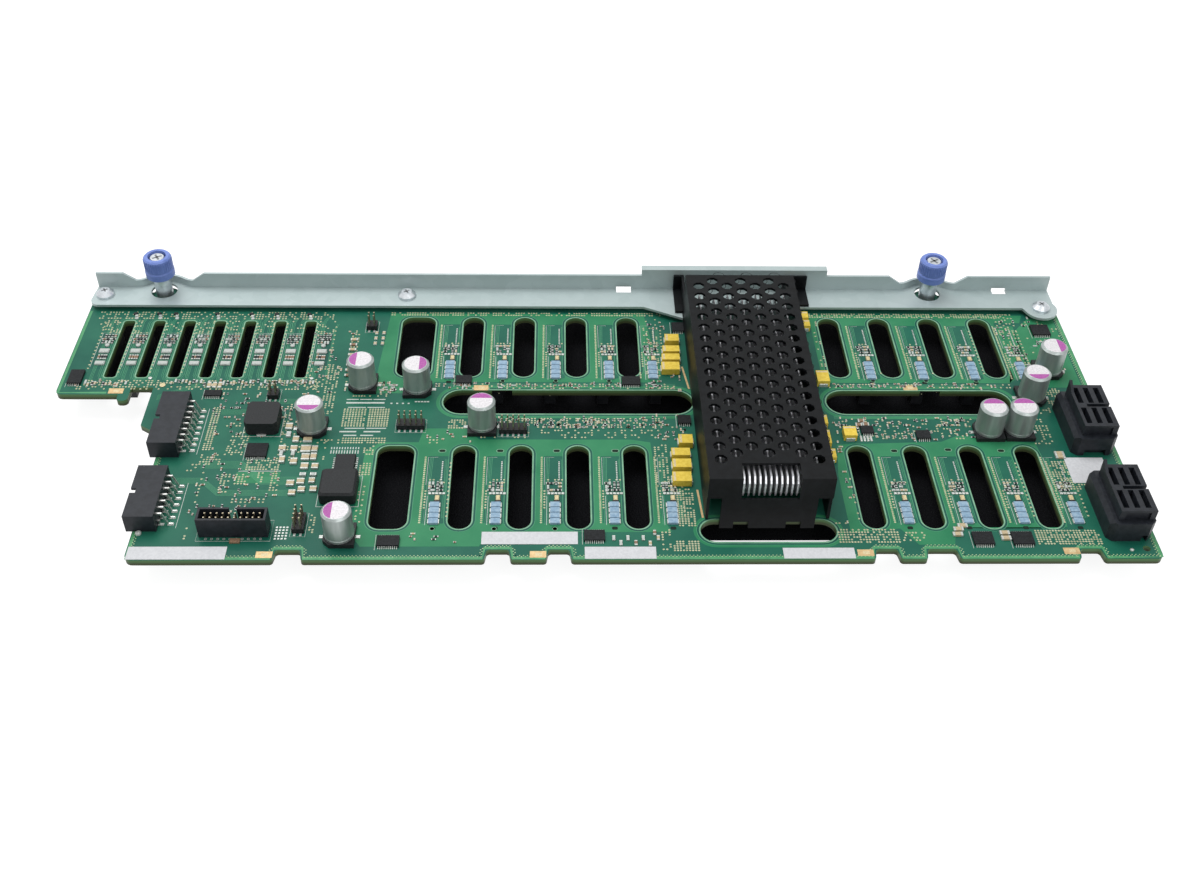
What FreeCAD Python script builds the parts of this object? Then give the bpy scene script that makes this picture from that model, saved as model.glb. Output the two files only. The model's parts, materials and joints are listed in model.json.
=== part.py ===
"""Drive backplane board for a server, as a parametric FreeCAD document.

The board lies component side up. X runs along its long side and Y from its front edge to the
folded rail at its rear. The origin is at the middle of the footprint, on the surface that the
drive sockets rest on. All sizes are millimetres and live in the spreadsheet "sizes".
"""
import FreeCAD, Part
import math
import os
import re
import Sketcher
from FreeCAD import Vector

doc = FreeCAD.newDocument("drive_backplane")

# ------------------------------------------------------------------ sizes

SIZES = {
    # circuit board, its outline and its notches
    "board_width": 385, "board_depth": 146.5, "board_thickness": 2.4, "corner_radius": 2.5,
    "lower_inset": 44, "step_inset": 35, "step_front": 60, "step_rear": 66, "wing_front": 83,
    "bay_inset": 26.9, "bay_rear": 87, "tab_inset": 22.9, "tab_front": 79.5, "tab_radius": 1.6,
    "notch_depth": 4.5, "notch_flare": 0.7, "notch_radius": 1.2,
    "tooling_hole": 2.6, "tooling_inset": 4.6,
    # air slots between the drive columns
    "column_pitch": 20, "left_column": -41, "right_column": 99, "column_count": 4,
    "slot_width": 8, "lower_slot_front": 14, "lower_slot_length": 41,
    "upper_slot_front": 93.7, "upper_slot_length": 36.7,
    "wide_slot_width": 13, "wide_slot_radius": 4, "lower_wide_x": -65, "upper_wide_x": -62.4,
    "card_slot_inset": 17.4, "card_pitch": 11.75, "card_slot_count": 7,
    "card_slot_width": 4.3, "card_slot_radius": 1.2, "card_slot_front": 92.9,
    "card_slot_length": 34.7,
    # long air slots across the middle, and the slot that takes the cover's hooks
    "cross_slot_y": 79.2, "cross_slot_width": 13.2, "left_cross_x": -4.2, "left_cross_length": 92,
    "right_cross_x": 126, "right_cross_length": 69, "cross_step_width": 7.6,
    "cross_step_height": 2.4, "left_step_x": -28.8, "right_step_x": 131.7,
    "hook_slot_rear": 18.4, "hook_slot_length": 45.8, "hook_slot_width": 10.4,
    # folded rail
    "rail_sheet": 1, "rail_gap": 1.8, "rail_flange": 12.2, "rail_height": 9.2,
    "rail_end_gap": 1.2, "rail_flare": 1.2, "rail_seat": 7.5, "rail_corner": 3.5, "rail_low": 5.8,
    "low_half": 11.2,
    "slope_half": 16, "bulge_half": 11.5, "bulge_depth": 3.8, "bulge_inner_radius": 7,
    "crown_left": 25.6, "crown_right": 100.2, "crown_height": 12, "crown_lip": 3,
    "apron_start": 26, "apron_depth": 7.4, "apron_gap": 0.3, "ear_radius": 6.6, "ear_inset": 7,
    "ear_front": 12.4, "ear_web": 7.3, "ear_lead": 30, "window_length": 6, "window_depth": 2.6,
    "window_rise": 1,
    "first_window": 18.5, "second_window": 171.3,
    # screws that hold the rail, and the press nuts under the board
    "left_screw_inset": 5.2, "middle_screw": -68.2, "screw_rear": 5.6, "screw_head": 7,
    "screw_head_height": 2.4, "screw_rim": 1, "screw_crown": 4,
    "screw_shank": 3, "screw_length": 7.2, "screw_clearance": 0.15,
    "nut_diameter": 5.6, "nut_height": 2,
    # captive thumbscrews
    "thumb_left": -164.8, "thumb_right": 141.6, "thumb_rear": 2.5, "lug_radius": 5.8,
    "thumb_hole": 10.2, "sleeve_diameter": 6.6, "sleeve_height": 11, "sleeve_lip": 0.9, "sleeve_edge": 0.5,
    "sleeve_shank": 5.6, "thread_diameter": 4, "neck_diameter": 3, "thread_clearance": 0.2,
    "thread_top_gap": 0.3, "thread_reach": 0.8, "thread_point": 0.8, "travel": 4,
    "knob_bottom": 10.2, "knob_height": 9.2, "knob_diameter": 10.6, "knob_band": 11.2,
    "band_height": 3.6, "knob_bore": 7.4, "knob_edge": 0.6, "head_diameter": 6,
    "head_height": 1.8, "head_edge": 0.4, "recess_diameter": 7, "recess_depth": 2.4, "washer_diameter": 6.6,
    "washer_thickness": 0.6, "washer_clearance": 0.1, "stop_gap": 0.3,
    # perforated cover
    "cover_x": 62.5, "cover_width": 42, "cover_height": 20, "cover_sheet": 1, "cover_rear": 14.6,
    "cover_foot": 0.5, "hook_clearance": 0.2, "hole_diameter": 4.1, "hole_pitch": 6.53,
    "hole_column": 5.45, "first_hole": 3.9, "inner_rows": 16, "outer_rows": 15,
    "window_width": 19.4, "window_top": 7.6, "window_front": 9.6, "face_height": 9,
    "plate_width": 32.2, "hook_depth": 3, "hook_gap_width": 5.1, "hook_gap_x": 8.9,
    "wing_height": 7, "wing_clearance": 0.3, "left_wing_width": 3.1, "left_wing_depth": 16,
    "right_wing_width": 8.6, "right_wing_depth": 11.5,
    # heat sink and expander chip under the cover
    "chip_size": 31, "chip_height": 3, "chip_front": 60, "sink_width": 36, "sink_front": 28,
    "sink_rear": 122, "sink_base": 2.5, "fin_thickness": 0.6, "fin_pitch": 1.8, "fin_top": 17.6,
    "nose_fins": 11, "side_fins": 4, "nose_front": 19.2, "nose_bottom": 10.4,
    # bulk capacitors
    "can_diameter": 10, "can_height": 12.6, "can_edge": 0.7,
    "base_size": 10.4, "base_height": 1.6, "base_chamfer": 2.2,
    # power inductor and choke
    "inductor_width": 11.6, "inductor_depth": 12.2, "inductor_height": 5.3, "inductor_chamfer": 1.2,
    "choke_width": 12.4, "choke_depth": 19, "choke_height": 3,
    # power sockets on the left edge
    "power_pitch": 3, "power_end": 3.3, "power_width": 10, "power_height": 7,
    "power_overhang": 2, "power_wall": 1, "power_cavity": 8, "pin_clearance": 0.05,
    "first_power_front": 49,
    "first_power_pins": 8, "second_power_front": 13, "second_power_pins": 7,
    "power_pin": 0.6, "pin_inside": 6, "upper_pin": 5.3, "lower_pin": 2, "pin_run": 1.9,
    "pin_slope": 1.6, "pin_foot": 1.4, "lower_run": 0.2, "latch_width": 2.2, "latch_depth": 1.8,
    # cable connectors near the right edge
    "cable_width": 15.2, "cable_depth": 26, "cable_skirt": 8, "cable_height": 12.4,
    "cable_inset": 17.2, "cable_chamfer": 1.8, "cable_top_width": 12.2, "cable_top_depth": 22.6,
    "cable_top_x": 2.4, "cable_top_y": 1.8, "first_cable_front": 50.3, "second_cable_front": 8,
    "cable_slot_width": 1.9, "cable_slot_length": 8.4, "cable_slot_pitch": 3.7,
    "cable_slot_depth": 7, "cable_row_pitch": 11, "cable_slot_x": 1.1, "cable_slot_y": 1.6,
    "cable_inner_wall": 0.8, "cable_gap": 1.5, "cable_gap_depth": 3, "cable_rib": 1.9,
    "cable_panel_depth": 0.8, "cable_panel_lid": 0.9, "cable_spike_height": 2.4, "cable_spike_depth": 4.6,
    "cable_spike_width": 1, "cable_relief_height": 2.6, "cable_relief_depth": 1.6,
    "first_relief_x": 4.2, "first_relief_width": 7.6, "second_relief_x": 11.4, "second_relief_width": 1.8,
    # ribbon header
    "ribbon_pitch": 2, "ribbon_columns": 10, "ribbon_x": -114.8, "ribbon_y": 13.3,
    "ribbon_end": 2.4, "ribbon_width": 6, "ribbon_height": 8, "ribbon_wall": 0.8,
    "ribbon_floor": 2, "ribbon_key": 2.6, "header_pin": 0.5, "ribbon_pin_top": 7.4,
    # jumper headers
    "jumper_pitch": 2, "jumper_body": 2, "jumper_pin_top": 6.5,
    # drive and card sockets on the underside
    "socket_height": 9.6, "socket_width": 5.8, "socket_length": 37, "socket_body": 8,
    "lower_socket_front": 16, "upper_socket_front": 93.6, "socket_slot_width": 2,
    "socket_slot_length": 31.5, "socket_slot_depth": 6, "key_width": 1.2, "key_reach": 1.2,
    "key_place": 10.5,
    "guide_width": 4.2, "guide_length": 2.8, "guide_taper": 1.3,
    "card_socket_width": 4.6, "card_socket_length": 33, "card_socket_height": 8.2,
    "card_opening_width": 1.6, "card_opening_length": 27, "card_opening_depth": 5,
    # small parts on the component side
    "tantalum_height": 2.6, "logic_height": 1.1, "array_width": 3.2, "array_part": 2.3,
    "array_gap": 0.3, "array_height": 0.9, "array_parts": 4,
    "lower_array_front": 16, "upper_array_front": 92.3,
    # cutters pass this far beyond what they cut
    "beyond": 1,
}

sizes = doc.addObject("Spreadsheet::Sheet", "sizes")
for row, (alias, amount) in enumerate(SIZES.items(), start=1):
    sizes.set(f"A{row}", alias)
    sizes.set(f"B{row}", str(amount))
    sizes.setAlias(f"B{row}", alias)
doc.recompute()

# Places that many parts share, as formulas of the cells. Board coordinates: x from the middle of
# the board, y from its front edge, z from its component side.
LEFT = "(-board_width / 2)"
RIGHT = "(board_width / 2)"
MIDDLE = "0"
LOWER_LEFT = "(lower_inset - board_width / 2)"
HOOK_SLOT_Y = "(hook_slot_rear - hook_slot_width / 2)"
FLANGE_TOP = "(rail_gap + rail_sheet)"
THUMB_Y = "(board_depth - thumb_rear)"
COVER_LEFT = "(cover_x - cover_width / 2)"
COVER_FRONT = "(hook_slot_rear - hook_clearance - cover_sheet)"
COVER_REAR = "(board_depth - cover_rear)"
KNOB_TOP = "(knob_bottom + knob_height)"
KNOB_CEILING = "(sleeve_height + travel + stop_gap + washer_thickness)"

# Hand-placed parts: what x is measured from, x and y of the near left corner, width and depth.
LOGIC_CHIPS = [
    (MIDDLE, 36.7, 121, 4.7, 5.5), (MIDDLE, 35.5, 66.4, 4.8, 4.4), (MIDDLE, -46.2, 89, 6, 4.4),
    (MIDDLE, 15.9, 88.2, 7, 4.8), (MIDDLE, -67.6, 5.6, 7.4, 4.6), (MIDDLE, 0.6, 8, 7, 4.6),
    (MIDDLE, 130.4, 6, 6.8, 5.6), (MIDDLE, 143.6, 6, 7, 5.6), (RIGHT, -13.2, 119.4, 7, 6.4),
    (LEFT, 3, 88.4, 5, 7.8), (LOWER_LEFT, 10.6, 81.4, 6.2, 3.2), (LOWER_LEFT, 31, 48.6, 7.4, 6.8),
    (MIDDLE, 121.4, 58.4, 5, 4.2), (MIDDLE, 101.7, 61.2, 4.5, 3.8),
]
TANTALUMS = [
    (MIDDLE, 33.4, 112.8, 5.4, 4.2), (MIDDLE, 32.2, 106.2, 6.4, 3.6),
    (MIDDLE, 31.6, 101.2, 6.8, 3.6), (MIDDLE, 31.2, 95.2, 6.8, 4.6),
    (MIDDLE, 35, 54, 5, 4.6), (MIDDLE, 32, 47.6, 6.6, 3.8), (MIDDLE, 32, 41.4, 6.6, 4.4),
    (MIDDLE, 31.6, 34.4, 6.6, 4.8), (MIDDLE, 87.6, 127.8, 3.6, 4), (MIDDLE, 87.6, 122.4, 3.6, 4),
    (MIDDLE, 89.4, 88.4, 4.6, 6.4), (MIDDLE, 86.4, 64.6, 3.4, 4.6), (MIDDLE, 86, 54, 3.6, 7),
    (MIDDLE, 86.2, 46.4, 4, 4.6), (MIDDLE, 94.8, 58, 4.6, 5),
]
# Bulk capacitors: what x is measured from, the can's x and y, and the quarter turns of its mark.
CAPACITORS = [
    (MIDDLE, -80.4, 88.6, 2), (MIDDLE, -60, 86.2, 0), (MIDDLE, -35.2, 65.2, 1),
    (MIDDLE, -95.9, 64, 3), (MIDDLE, -80, 10.4, 2), (RIGHT, -13.4, 97.6, 0),
    (MIDDLE, 168.6, 82, 3), (MIDDLE, 148, 62.6, 1), (MIDDLE, 159, 62.8, 1),
]
# Jumper headers: what x is measured from, x and y of the first pin, columns and rows.
JUMPERS = [
    (MIDDLE, -64.9, 64.6, 5, 2), (MIDDLE, -28, 62.4, 5, 2), (MIDDLE, -95, 13, 2, 4),
    (MIDDLE, -81.5, 123, 2, 2), (LOWER_LEFT, 35, 81.4, 2, 2),
]
# How far each resistor array stands to the right of its drive column.
LOWER_ARRAYS = (1.3, 2, 2, 2.1, 1.7, 1.5, 1.6, 0.8, -0.6)
UPPER_ARRAYS = (2.2, 2.1, 2.1, 2.3, -1.1, 1.7, 1.6, 1.2, 0.2)
# Notches in the front edge: left end and width.
NOTCHES = [(-100.2, 8), (-31.4, 7.3), (-11.1, 6.9), (97.2, 7.1), (114.4, 9.6), (165.5, 6.9)]


# ------------------------------------------------------------------ helpers

def formula(text):
    """Point each size that the text names at its cell."""
    return re.sub(r"[a-z_]+", lambda word: f"sizes.{word[0]}" if word[0] in SIZES else word[0], str(text))


def bind(item, **formulas):
    """Bind properties of an object to formulas; a double underscore stands for a dot."""
    for name, text in formulas.items():
        item.setExpression(name.replace("__", "."), formula(text))


def size(alias):
    """Read one size from the sheet."""
    return float(sizes.get(alias))


def place(item, x, y, z="0"):
    """Put an object at board coordinates."""
    front = "(board_depth + bulge_depth + rail_sheet) / 2"
    bind(item, Placement__Base__x=x, Placement__Base__y=f"{y} - {front}",
         Placement__Base__z=f"{z} + socket_height + board_thickness")


def box(name, x, y, z, width, depth, height):
    item = doc.addObject("Part::Box", name)
    bind(item, Length=width, Width=depth, Height=height)
    place(item, x, y, z)
    return item


def group(name, items):
    """Like pieces that share one file as separate solids."""
    item = doc.addObject("Part::Compound", name)
    item.Links = items
    return item


def new_body(name, x="0", y="0", z="0"):
    body = doc.addObject("PartDesign::Body", name)
    place(body, x, y, z)
    return body


def origin_feature(body, role):
    return next(feature for feature in body.Origin.OriginFeatures if feature.Role == role)


def new_sketch(body, name, plane, **offsets):
    sketch = body.newObject("Sketcher::SketchObject", f"{body.Name}_{name}")
    sketch.AttachmentSupport = (origin_feature(body, plane), [""])
    sketch.MapMode = "FlatFace"
    bind(sketch, **{f"AttachmentOffset__Base__{axis}": text for axis, text in offsets.items()})
    return sketch


def outline(body, name, points, plane="XY_Plane", **offsets):
    """A closed polygon whose corners are pairs of formulas."""
    sketch = new_sketch(body, name, plane, **offsets)
    count = len(points)
    turns = [2 * math.pi * index / count for index in range(count)]
    rough = [Vector(math.cos(turn), math.sin(turn), 0) for turn in turns]
    for index in range(count):
        sketch.addGeometry(Part.LineSegment(rough[index], rough[(index + 1) % count]), False)
    for index, (x, y) in enumerate(points):
        sketch.addConstraint(Sketcher.Constraint("Coincident", index, 2, (index + 1) % count, 1))
        for kind, text, axis in (("DistanceX", x, -2), ("DistanceY", y, -1)):
            if text == "0":
                sketch.addConstraint(Sketcher.Constraint("PointOnObject", index, 1, axis))
                continue
            number = sketch.addConstraint(Sketcher.Constraint(kind, -1, 1, index, 1, 1.0))
            sketch.setExpression(f"Constraints[{number}]", formula(text))
    return sketch


def rectangle(body, name, left, front, right, rear, plane="XY_Plane", **offsets):
    corners = [(left, front), (right, front), (right, rear), (left, rear)]
    return outline(body, name, corners, plane, **offsets)


def circle(body, name, diameter, plane="XY_Plane", **offsets):
    sketch = new_sketch(body, name, plane, **offsets)
    sketch.addGeometry(Part.Circle(Vector(0, 0, 0), Vector(0, 0, 1), 1), False)
    sketch.addConstraint(Sketcher.Constraint("Coincident", 0, 3, -1, 1))
    number = sketch.addConstraint(Sketcher.Constraint("Radius", 0, 1.0))
    sketch.setExpression(f"Constraints[{number}]", formula(f"({diameter}) / 2"))
    return sketch


def octagon(body, name, across, **offsets):
    """A regular octagon; across is the distance between its opposite sides."""
    side, corner = f"({across}) / 2", f"({across}) / 2 * tan(22.5 deg)"
    corners = [
        (side, corner), (corner, side), (f"-{corner}", side), (f"-{side}", corner),
        (f"-{side}", f"-{corner}"), (f"-{corner}", f"-{side}"), (corner, f"-{side}"), (side, f"-{corner}"),
    ]
    return outline(body, name, corners, **offsets)


def round_slot(body, name, width, length, along="y", **offsets):
    """A slot with full-round ends, its middle at the offsets."""
    sketch = new_sketch(body, name, "XY_Plane", **offsets)
    if along == "x":
        sketch.AttachmentOffset = FreeCAD.Placement(Vector(), FreeCAD.Rotation(Vector(0, 0, 1), 90))
    side = Vector(1, 0, 0)
    far = Vector(0, 2, 0)
    up = Vector(0, 0, 1)
    sketch.addGeometry(Part.ArcOfCircle(Part.Circle(far, up, 1), 0, math.pi), False)
    sketch.addGeometry(Part.LineSegment(far - side, -far - side), False)
    sketch.addGeometry(Part.ArcOfCircle(Part.Circle(-far, up, 1), math.pi, 2 * math.pi), False)
    sketch.addGeometry(Part.LineSegment(side - far, far + side), False)
    for first, second in ((0, 1), (1, 2), (2, 3), (3, 0)):
        sketch.addConstraint(Sketcher.Constraint("Tangent", first, 2, second, 1))
    sketch.addConstraint(Sketcher.Constraint("Vertical", 1))
    sketch.addConstraint(Sketcher.Constraint("PointOnObject", 0, 3, -2))
    sketch.addConstraint(Sketcher.Constraint("Symmetric", 0, 3, 2, 3, -1, 1))
    number = sketch.addConstraint(Sketcher.Constraint("Radius", 0, 1.0))
    sketch.setExpression(f"Constraints[{number}]", formula(f"({width}) / 2"))
    number = sketch.addConstraint(Sketcher.Constraint("DistanceY", 2, 3, 0, 3, 4.0))
    sketch.setExpression(f"Constraints[{number}]", formula(f"({length}) - ({width})"))
    return sketch


def pad(body, sketch, height, down=False):
    feature = body.newObject("PartDesign::Pad", sketch.Name + "_pad")
    feature.Profile = sketch
    feature.Reversed = down
    bind(feature, Length=height)
    return feature


def pocket(body, sketch, depth=None, reverse=False):
    """Cut the sketch into the body: right through, or as deep as the formula says."""
    feature = body.newObject("PartDesign::Pocket", sketch.Name + "_pocket")
    feature.Profile = sketch
    feature.Reversed = reverse
    if depth is None:
        feature.Type = "ThroughAll"
    else:
        bind(feature, Length=depth)
    return feature


def pattern(body, feature, steps):
    """Repeat a feature along one or two axes; each step is an axis, a count and a pitch."""
    repeat = body.newObject("PartDesign::LinearPattern", feature.Name + "_row")
    repeat.Originals = [feature]
    for (axis, count, pitch), ending in zip(steps, ("", "2")):
        setattr(repeat, "Direction" + ending, (origin_feature(body, f"{axis}_Axis"), [""]))
        bind(repeat, **{"Occurrences" + ending: count, "Length" + ending: f"(({count}) - 1) * ({pitch})"})
    body.Tip = repeat
    return repeat


def revolved(name, profile, x="0", y="0", z="0"):
    """A turned piece: its profile is pairs of radius and height."""
    body = new_body(name, x, y, z)
    sketch = outline(body, "profile", profile, "XZ_Plane")
    turn = body.newObject("PartDesign::Revolution", name + "_turn")
    turn.Profile = sketch
    turn.ReferenceAxis = (sketch, ["V_Axis"])
    turn.Angle = 360
    return body


def round_edges(body, radius, wanted):
    """Fillet the upright edges whose x and y, in the body's own frame, are wanted."""
    doc.recompute()
    base = body.Tip
    names = []
    for number, edge in enumerate(base.Shape.Edges, start=1):
        start, end = edge.Vertexes[0].Point, edge.Vertexes[-1].Point
        upright = abs(start.x - end.x) < 1e-6 and abs(start.y - end.y) < 1e-6
        if upright and isinstance(edge.Curve, Part.Line) and wanted(start.x, start.y):
            names.append(f"Edge{number}")
    feature = body.newObject("PartDesign::Fillet", f"{base.Name}_round")
    feature.Base = (base, names)
    bind(feature, Radius=radius)
    return feature


# ------------------------------------------------------------------ circuit board

def circuit_board():
    body = new_body("circuit_board")
    pad(body, rectangle(body, "blank", LEFT, "0", RIGHT, "board_depth"), "board_thickness", down=True)
    lugs = pad(body, circle(body, "lug", "lug_radius * 2", x="thumb_left", y=THUMB_Y),
               "board_thickness", down=True)
    pattern(body, lugs, [("X", "2", "thumb_right - thumb_left")])

    beyond_left = "-board_width / 2 - beyond"
    bay = f"{LEFT} + bay_inset"
    tab = f"{LEFT} + tab_inset"
    step = f"{LEFT} + step_inset"
    recess = [
        (beyond_left, "-beyond"), (LOWER_LEFT, "-beyond"), (LOWER_LEFT, "step_front"),
        (step, "step_rear"), (step, "bay_rear"), (bay, "bay_rear"), (bay, "tab_front"),
        (tab, "tab_front"), (tab, "wing_front"), (beyond_left, "wing_front"),
    ]
    pocket(body, outline(body, "recess", recess))

    for number, (left, width) in enumerate(NOTCHES, start=1):
        near, far = f"{left} - notch_flare", f"{left} + {width} + notch_flare"
        corners = [
            (near, "-beyond"), (far, "-beyond"), (far, "0"), (f"{left} + {width}", "notch_depth"),
            (f"{left}", "notch_depth"), (near, "0"),
        ]
        pocket(body, outline(body, f"notch_{number}", corners))

    rows = (("lower", "lower_slot_front", "lower_slot_length"),
            ("upper", "upper_slot_front", "upper_slot_length"))
    for row, front, length in rows:
        middle = f"{front} + {length} / 2"
        for side in ("left", "right"):
            sketch = round_slot(body, f"{row}_{side}_slot", "slot_width", length,
                                x=f"{side}_column", y=middle)
            pattern(body, pocket(body, sketch), [("X", "column_count", "column_pitch")])
        wide = rectangle(body, f"{row}_wide_slot", f"{row}_wide_x - wide_slot_width / 2", front,
                         f"{row}_wide_x + wide_slot_width / 2", f"{front} + {length}")
        pocket(body, wide)
    middle = "card_slot_front + card_slot_length / 2"
    card = rectangle(body, "card_slot", f"{LEFT} + card_slot_inset - card_slot_width / 2",
                     "card_slot_front", f"{LEFT} + card_slot_inset + card_slot_width / 2",
                     "card_slot_front + card_slot_length")
    pattern(body, pocket(body, card), [("X", "card_slot_count", "card_pitch")])

    for side in ("left", "right"):
        pocket(body, round_slot(body, f"{side}_cross_slot", "cross_slot_width", f"{side}_cross_length",
                                "x", x=f"{side}_cross_x", y="cross_slot_y"))
        rear = "cross_slot_y + cross_slot_width / 2"
        step_left = f"{side}_step_x - cross_step_width / 2"
        pocket(body, rectangle(body, f"{side}_step", step_left, "cross_slot_y",
                               f"{step_left} + cross_step_width", f"{rear} + cross_step_height"))
    pocket(body, round_slot(body, "hook_slot", "hook_slot_width", "hook_slot_length", "x",
                            x="cover_x", y=HOOK_SLOT_Y))

    for number, (x, y) in enumerate(SCREW_PLACES, start=1):
        pocket(body, circle(body, f"screw_hole_{number}", "screw_shank + 2 * screw_clearance", x=x, y=y))
    sleeve_hole = pocket(body, circle(body, "sleeve_hole", "sleeve_shank", x="thumb_left", y=THUMB_Y))
    pattern(body, sleeve_hole, [("X", "2", "thumb_right - thumb_left")])
    pocket(body, circle(body, "tooling_hole", "tooling_hole", x=f"{RIGHT} - tooling_inset",
                        y="tooling_inset"))

    def in_wide_slot(x, y):
        half = size("wide_slot_width") / 2 + 0.01
        upper = y > size("cross_slot_y")
        middle = size("upper_wide_x") if upper else size("lower_wide_x")
        front = size("upper_slot_front") if upper else size("lower_slot_front")
        return abs(x - middle) < half and y > front - 0.01
    round_edges(body, "wide_slot_radius", in_wide_slot)

    first_card = -size("board_width") / 2 + size("card_slot_inset")
    last_card = first_card + (size("card_slot_count") - 1) * size("card_pitch")

    def in_card_slot(x, y):
        half = size("card_slot_width") / 2 + 0.01
        rear = size("card_slot_front") + size("card_slot_length") + 0.01
        return first_card - half < x < last_card + half and size("card_slot_front") - 0.01 < y < rear
    round_edges(body, "card_slot_radius", in_card_slot)

    def on_outer_corner(x, y):
        half = size("board_width") / 2
        front_right = abs(x - half) < 0.01 and abs(y) < 0.01
        front_left = abs(x + half - size("lower_inset")) < 0.01 and abs(y) < 0.01
        wing = abs(x + half) < 0.01 and abs(y - size("wing_front")) < 0.01
        return front_right or front_left or wing
    round_edges(body, "corner_radius", on_outer_corner)

    def on_tab(x, y):
        return abs(y - size("tab_front")) < 0.01 and x < 0
    round_edges(body, "tab_radius", on_tab)

    def on_notch(x, y):
        reach = size("notch_flare") + 0.01
        beside = any(left - reach < x < left + width + reach for left, width in NOTCHES)
        return beside and y < size("notch_depth") + 0.01
    round_edges(body, "notch_radius", on_notch)


# ------------------------------------------------------------------ folded rail and its screws

SCREW_PLACES = [
    (f"{LEFT} + left_screw_inset", "board_depth - screw_rear"),
    ("middle_screw", "board_depth - screw_rear"),
    (f"{RIGHT} - ear_inset", "board_depth - ear_front"),
]


def rail_line(offset):
    """The rail's fold line, moved outward by the offset: straight, but for a bulge at each thumbscrew."""
    face = size("board_depth")
    half, depth = size("bulge_half"), size("bulge_depth")
    inner = size("bulge_inner_radius")
    outer = (half ** 2 + depth ** 2) / (2 * depth) - inner
    left = -size("board_width") / 2 + size("rail_end_gap")
    right = size("board_width") / 2 - size("rail_end_gap")
    edges = []
    start = Vector(left, face + offset, 0)
    for middle in (size("thumb_left"), size("thumb_right")):
        hub = Vector(middle, face + depth - outer, 0)
        points = []
        for side in (-1, 1):
            foot_hub = Vector(middle + side * half, face + inner, 0)
            away = (foot_hub - hub).normalize()
            join = hub + away * (outer + offset)
            foot = Vector(foot_hub.x, face + offset, 0)
            half_way = (join + foot) * 0.5 - foot_hub
            points.append((foot, foot_hub + half_way.normalize() * (inner - offset), join))
        (foot, bend, join), (last_foot, last_bend, last_join) = points
        top = Vector(middle, face + depth + offset, 0)
        edges += [Part.LineSegment(start, foot), Part.Arc(foot, bend, join)]
        edges += [Part.Arc(join, top, last_join), Part.Arc(last_join, last_bend, last_foot)]
        start = last_foot
    end = Vector(right, face + offset, 0)
    edges.append(Part.LineSegment(start, end))
    return [edge.toShape() for edge in edges], Vector(left, face + offset, 0), end


def closed_face(edges, extra):
    """A face bounded by the edges and by straight lines through the extra points."""
    points = [edges[-1].Vertexes[-1].Point] + extra + [edges[0].Vertexes[0].Point]
    sides = [Part.LineSegment(a, b).toShape() for a, b in zip(points, points[1:])]
    return Part.Face(Part.Wire(Part.__sortEdges__(edges + sides)))


def upright_profile():
    """The rail's upstand seen from the front: low beside the thumbscrews, tall behind the cover."""
    low, tall, crown = size("rail_low"), size("rail_height"), size("crown_height")
    left = -size("board_width") / 2 + size("rail_end_gap")
    right = size("board_width") / 2 - size("rail_end_gap")
    points = [(left, 0), (left, tall)]
    crown_points = [(size("crown_left"), tall), (size("crown_left"), crown),
                    (size("crown_right"), crown), (size("crown_right"), tall)]
    for middle, after in ((size("thumb_left"), crown_points), (size("thumb_right"), [(right, tall)])):
        points += [(middle - size("slope_half"), tall), (middle - size("low_half"), low),
                   (middle + size("low_half"), low), (middle + size("slope_half"), tall)]
        points += after
    points.append((right, 0))
    corners = [Vector(x, 0, z) for x, z in points]
    return Part.Face(Part.makePolygon(corners + corners[:1]))


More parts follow.
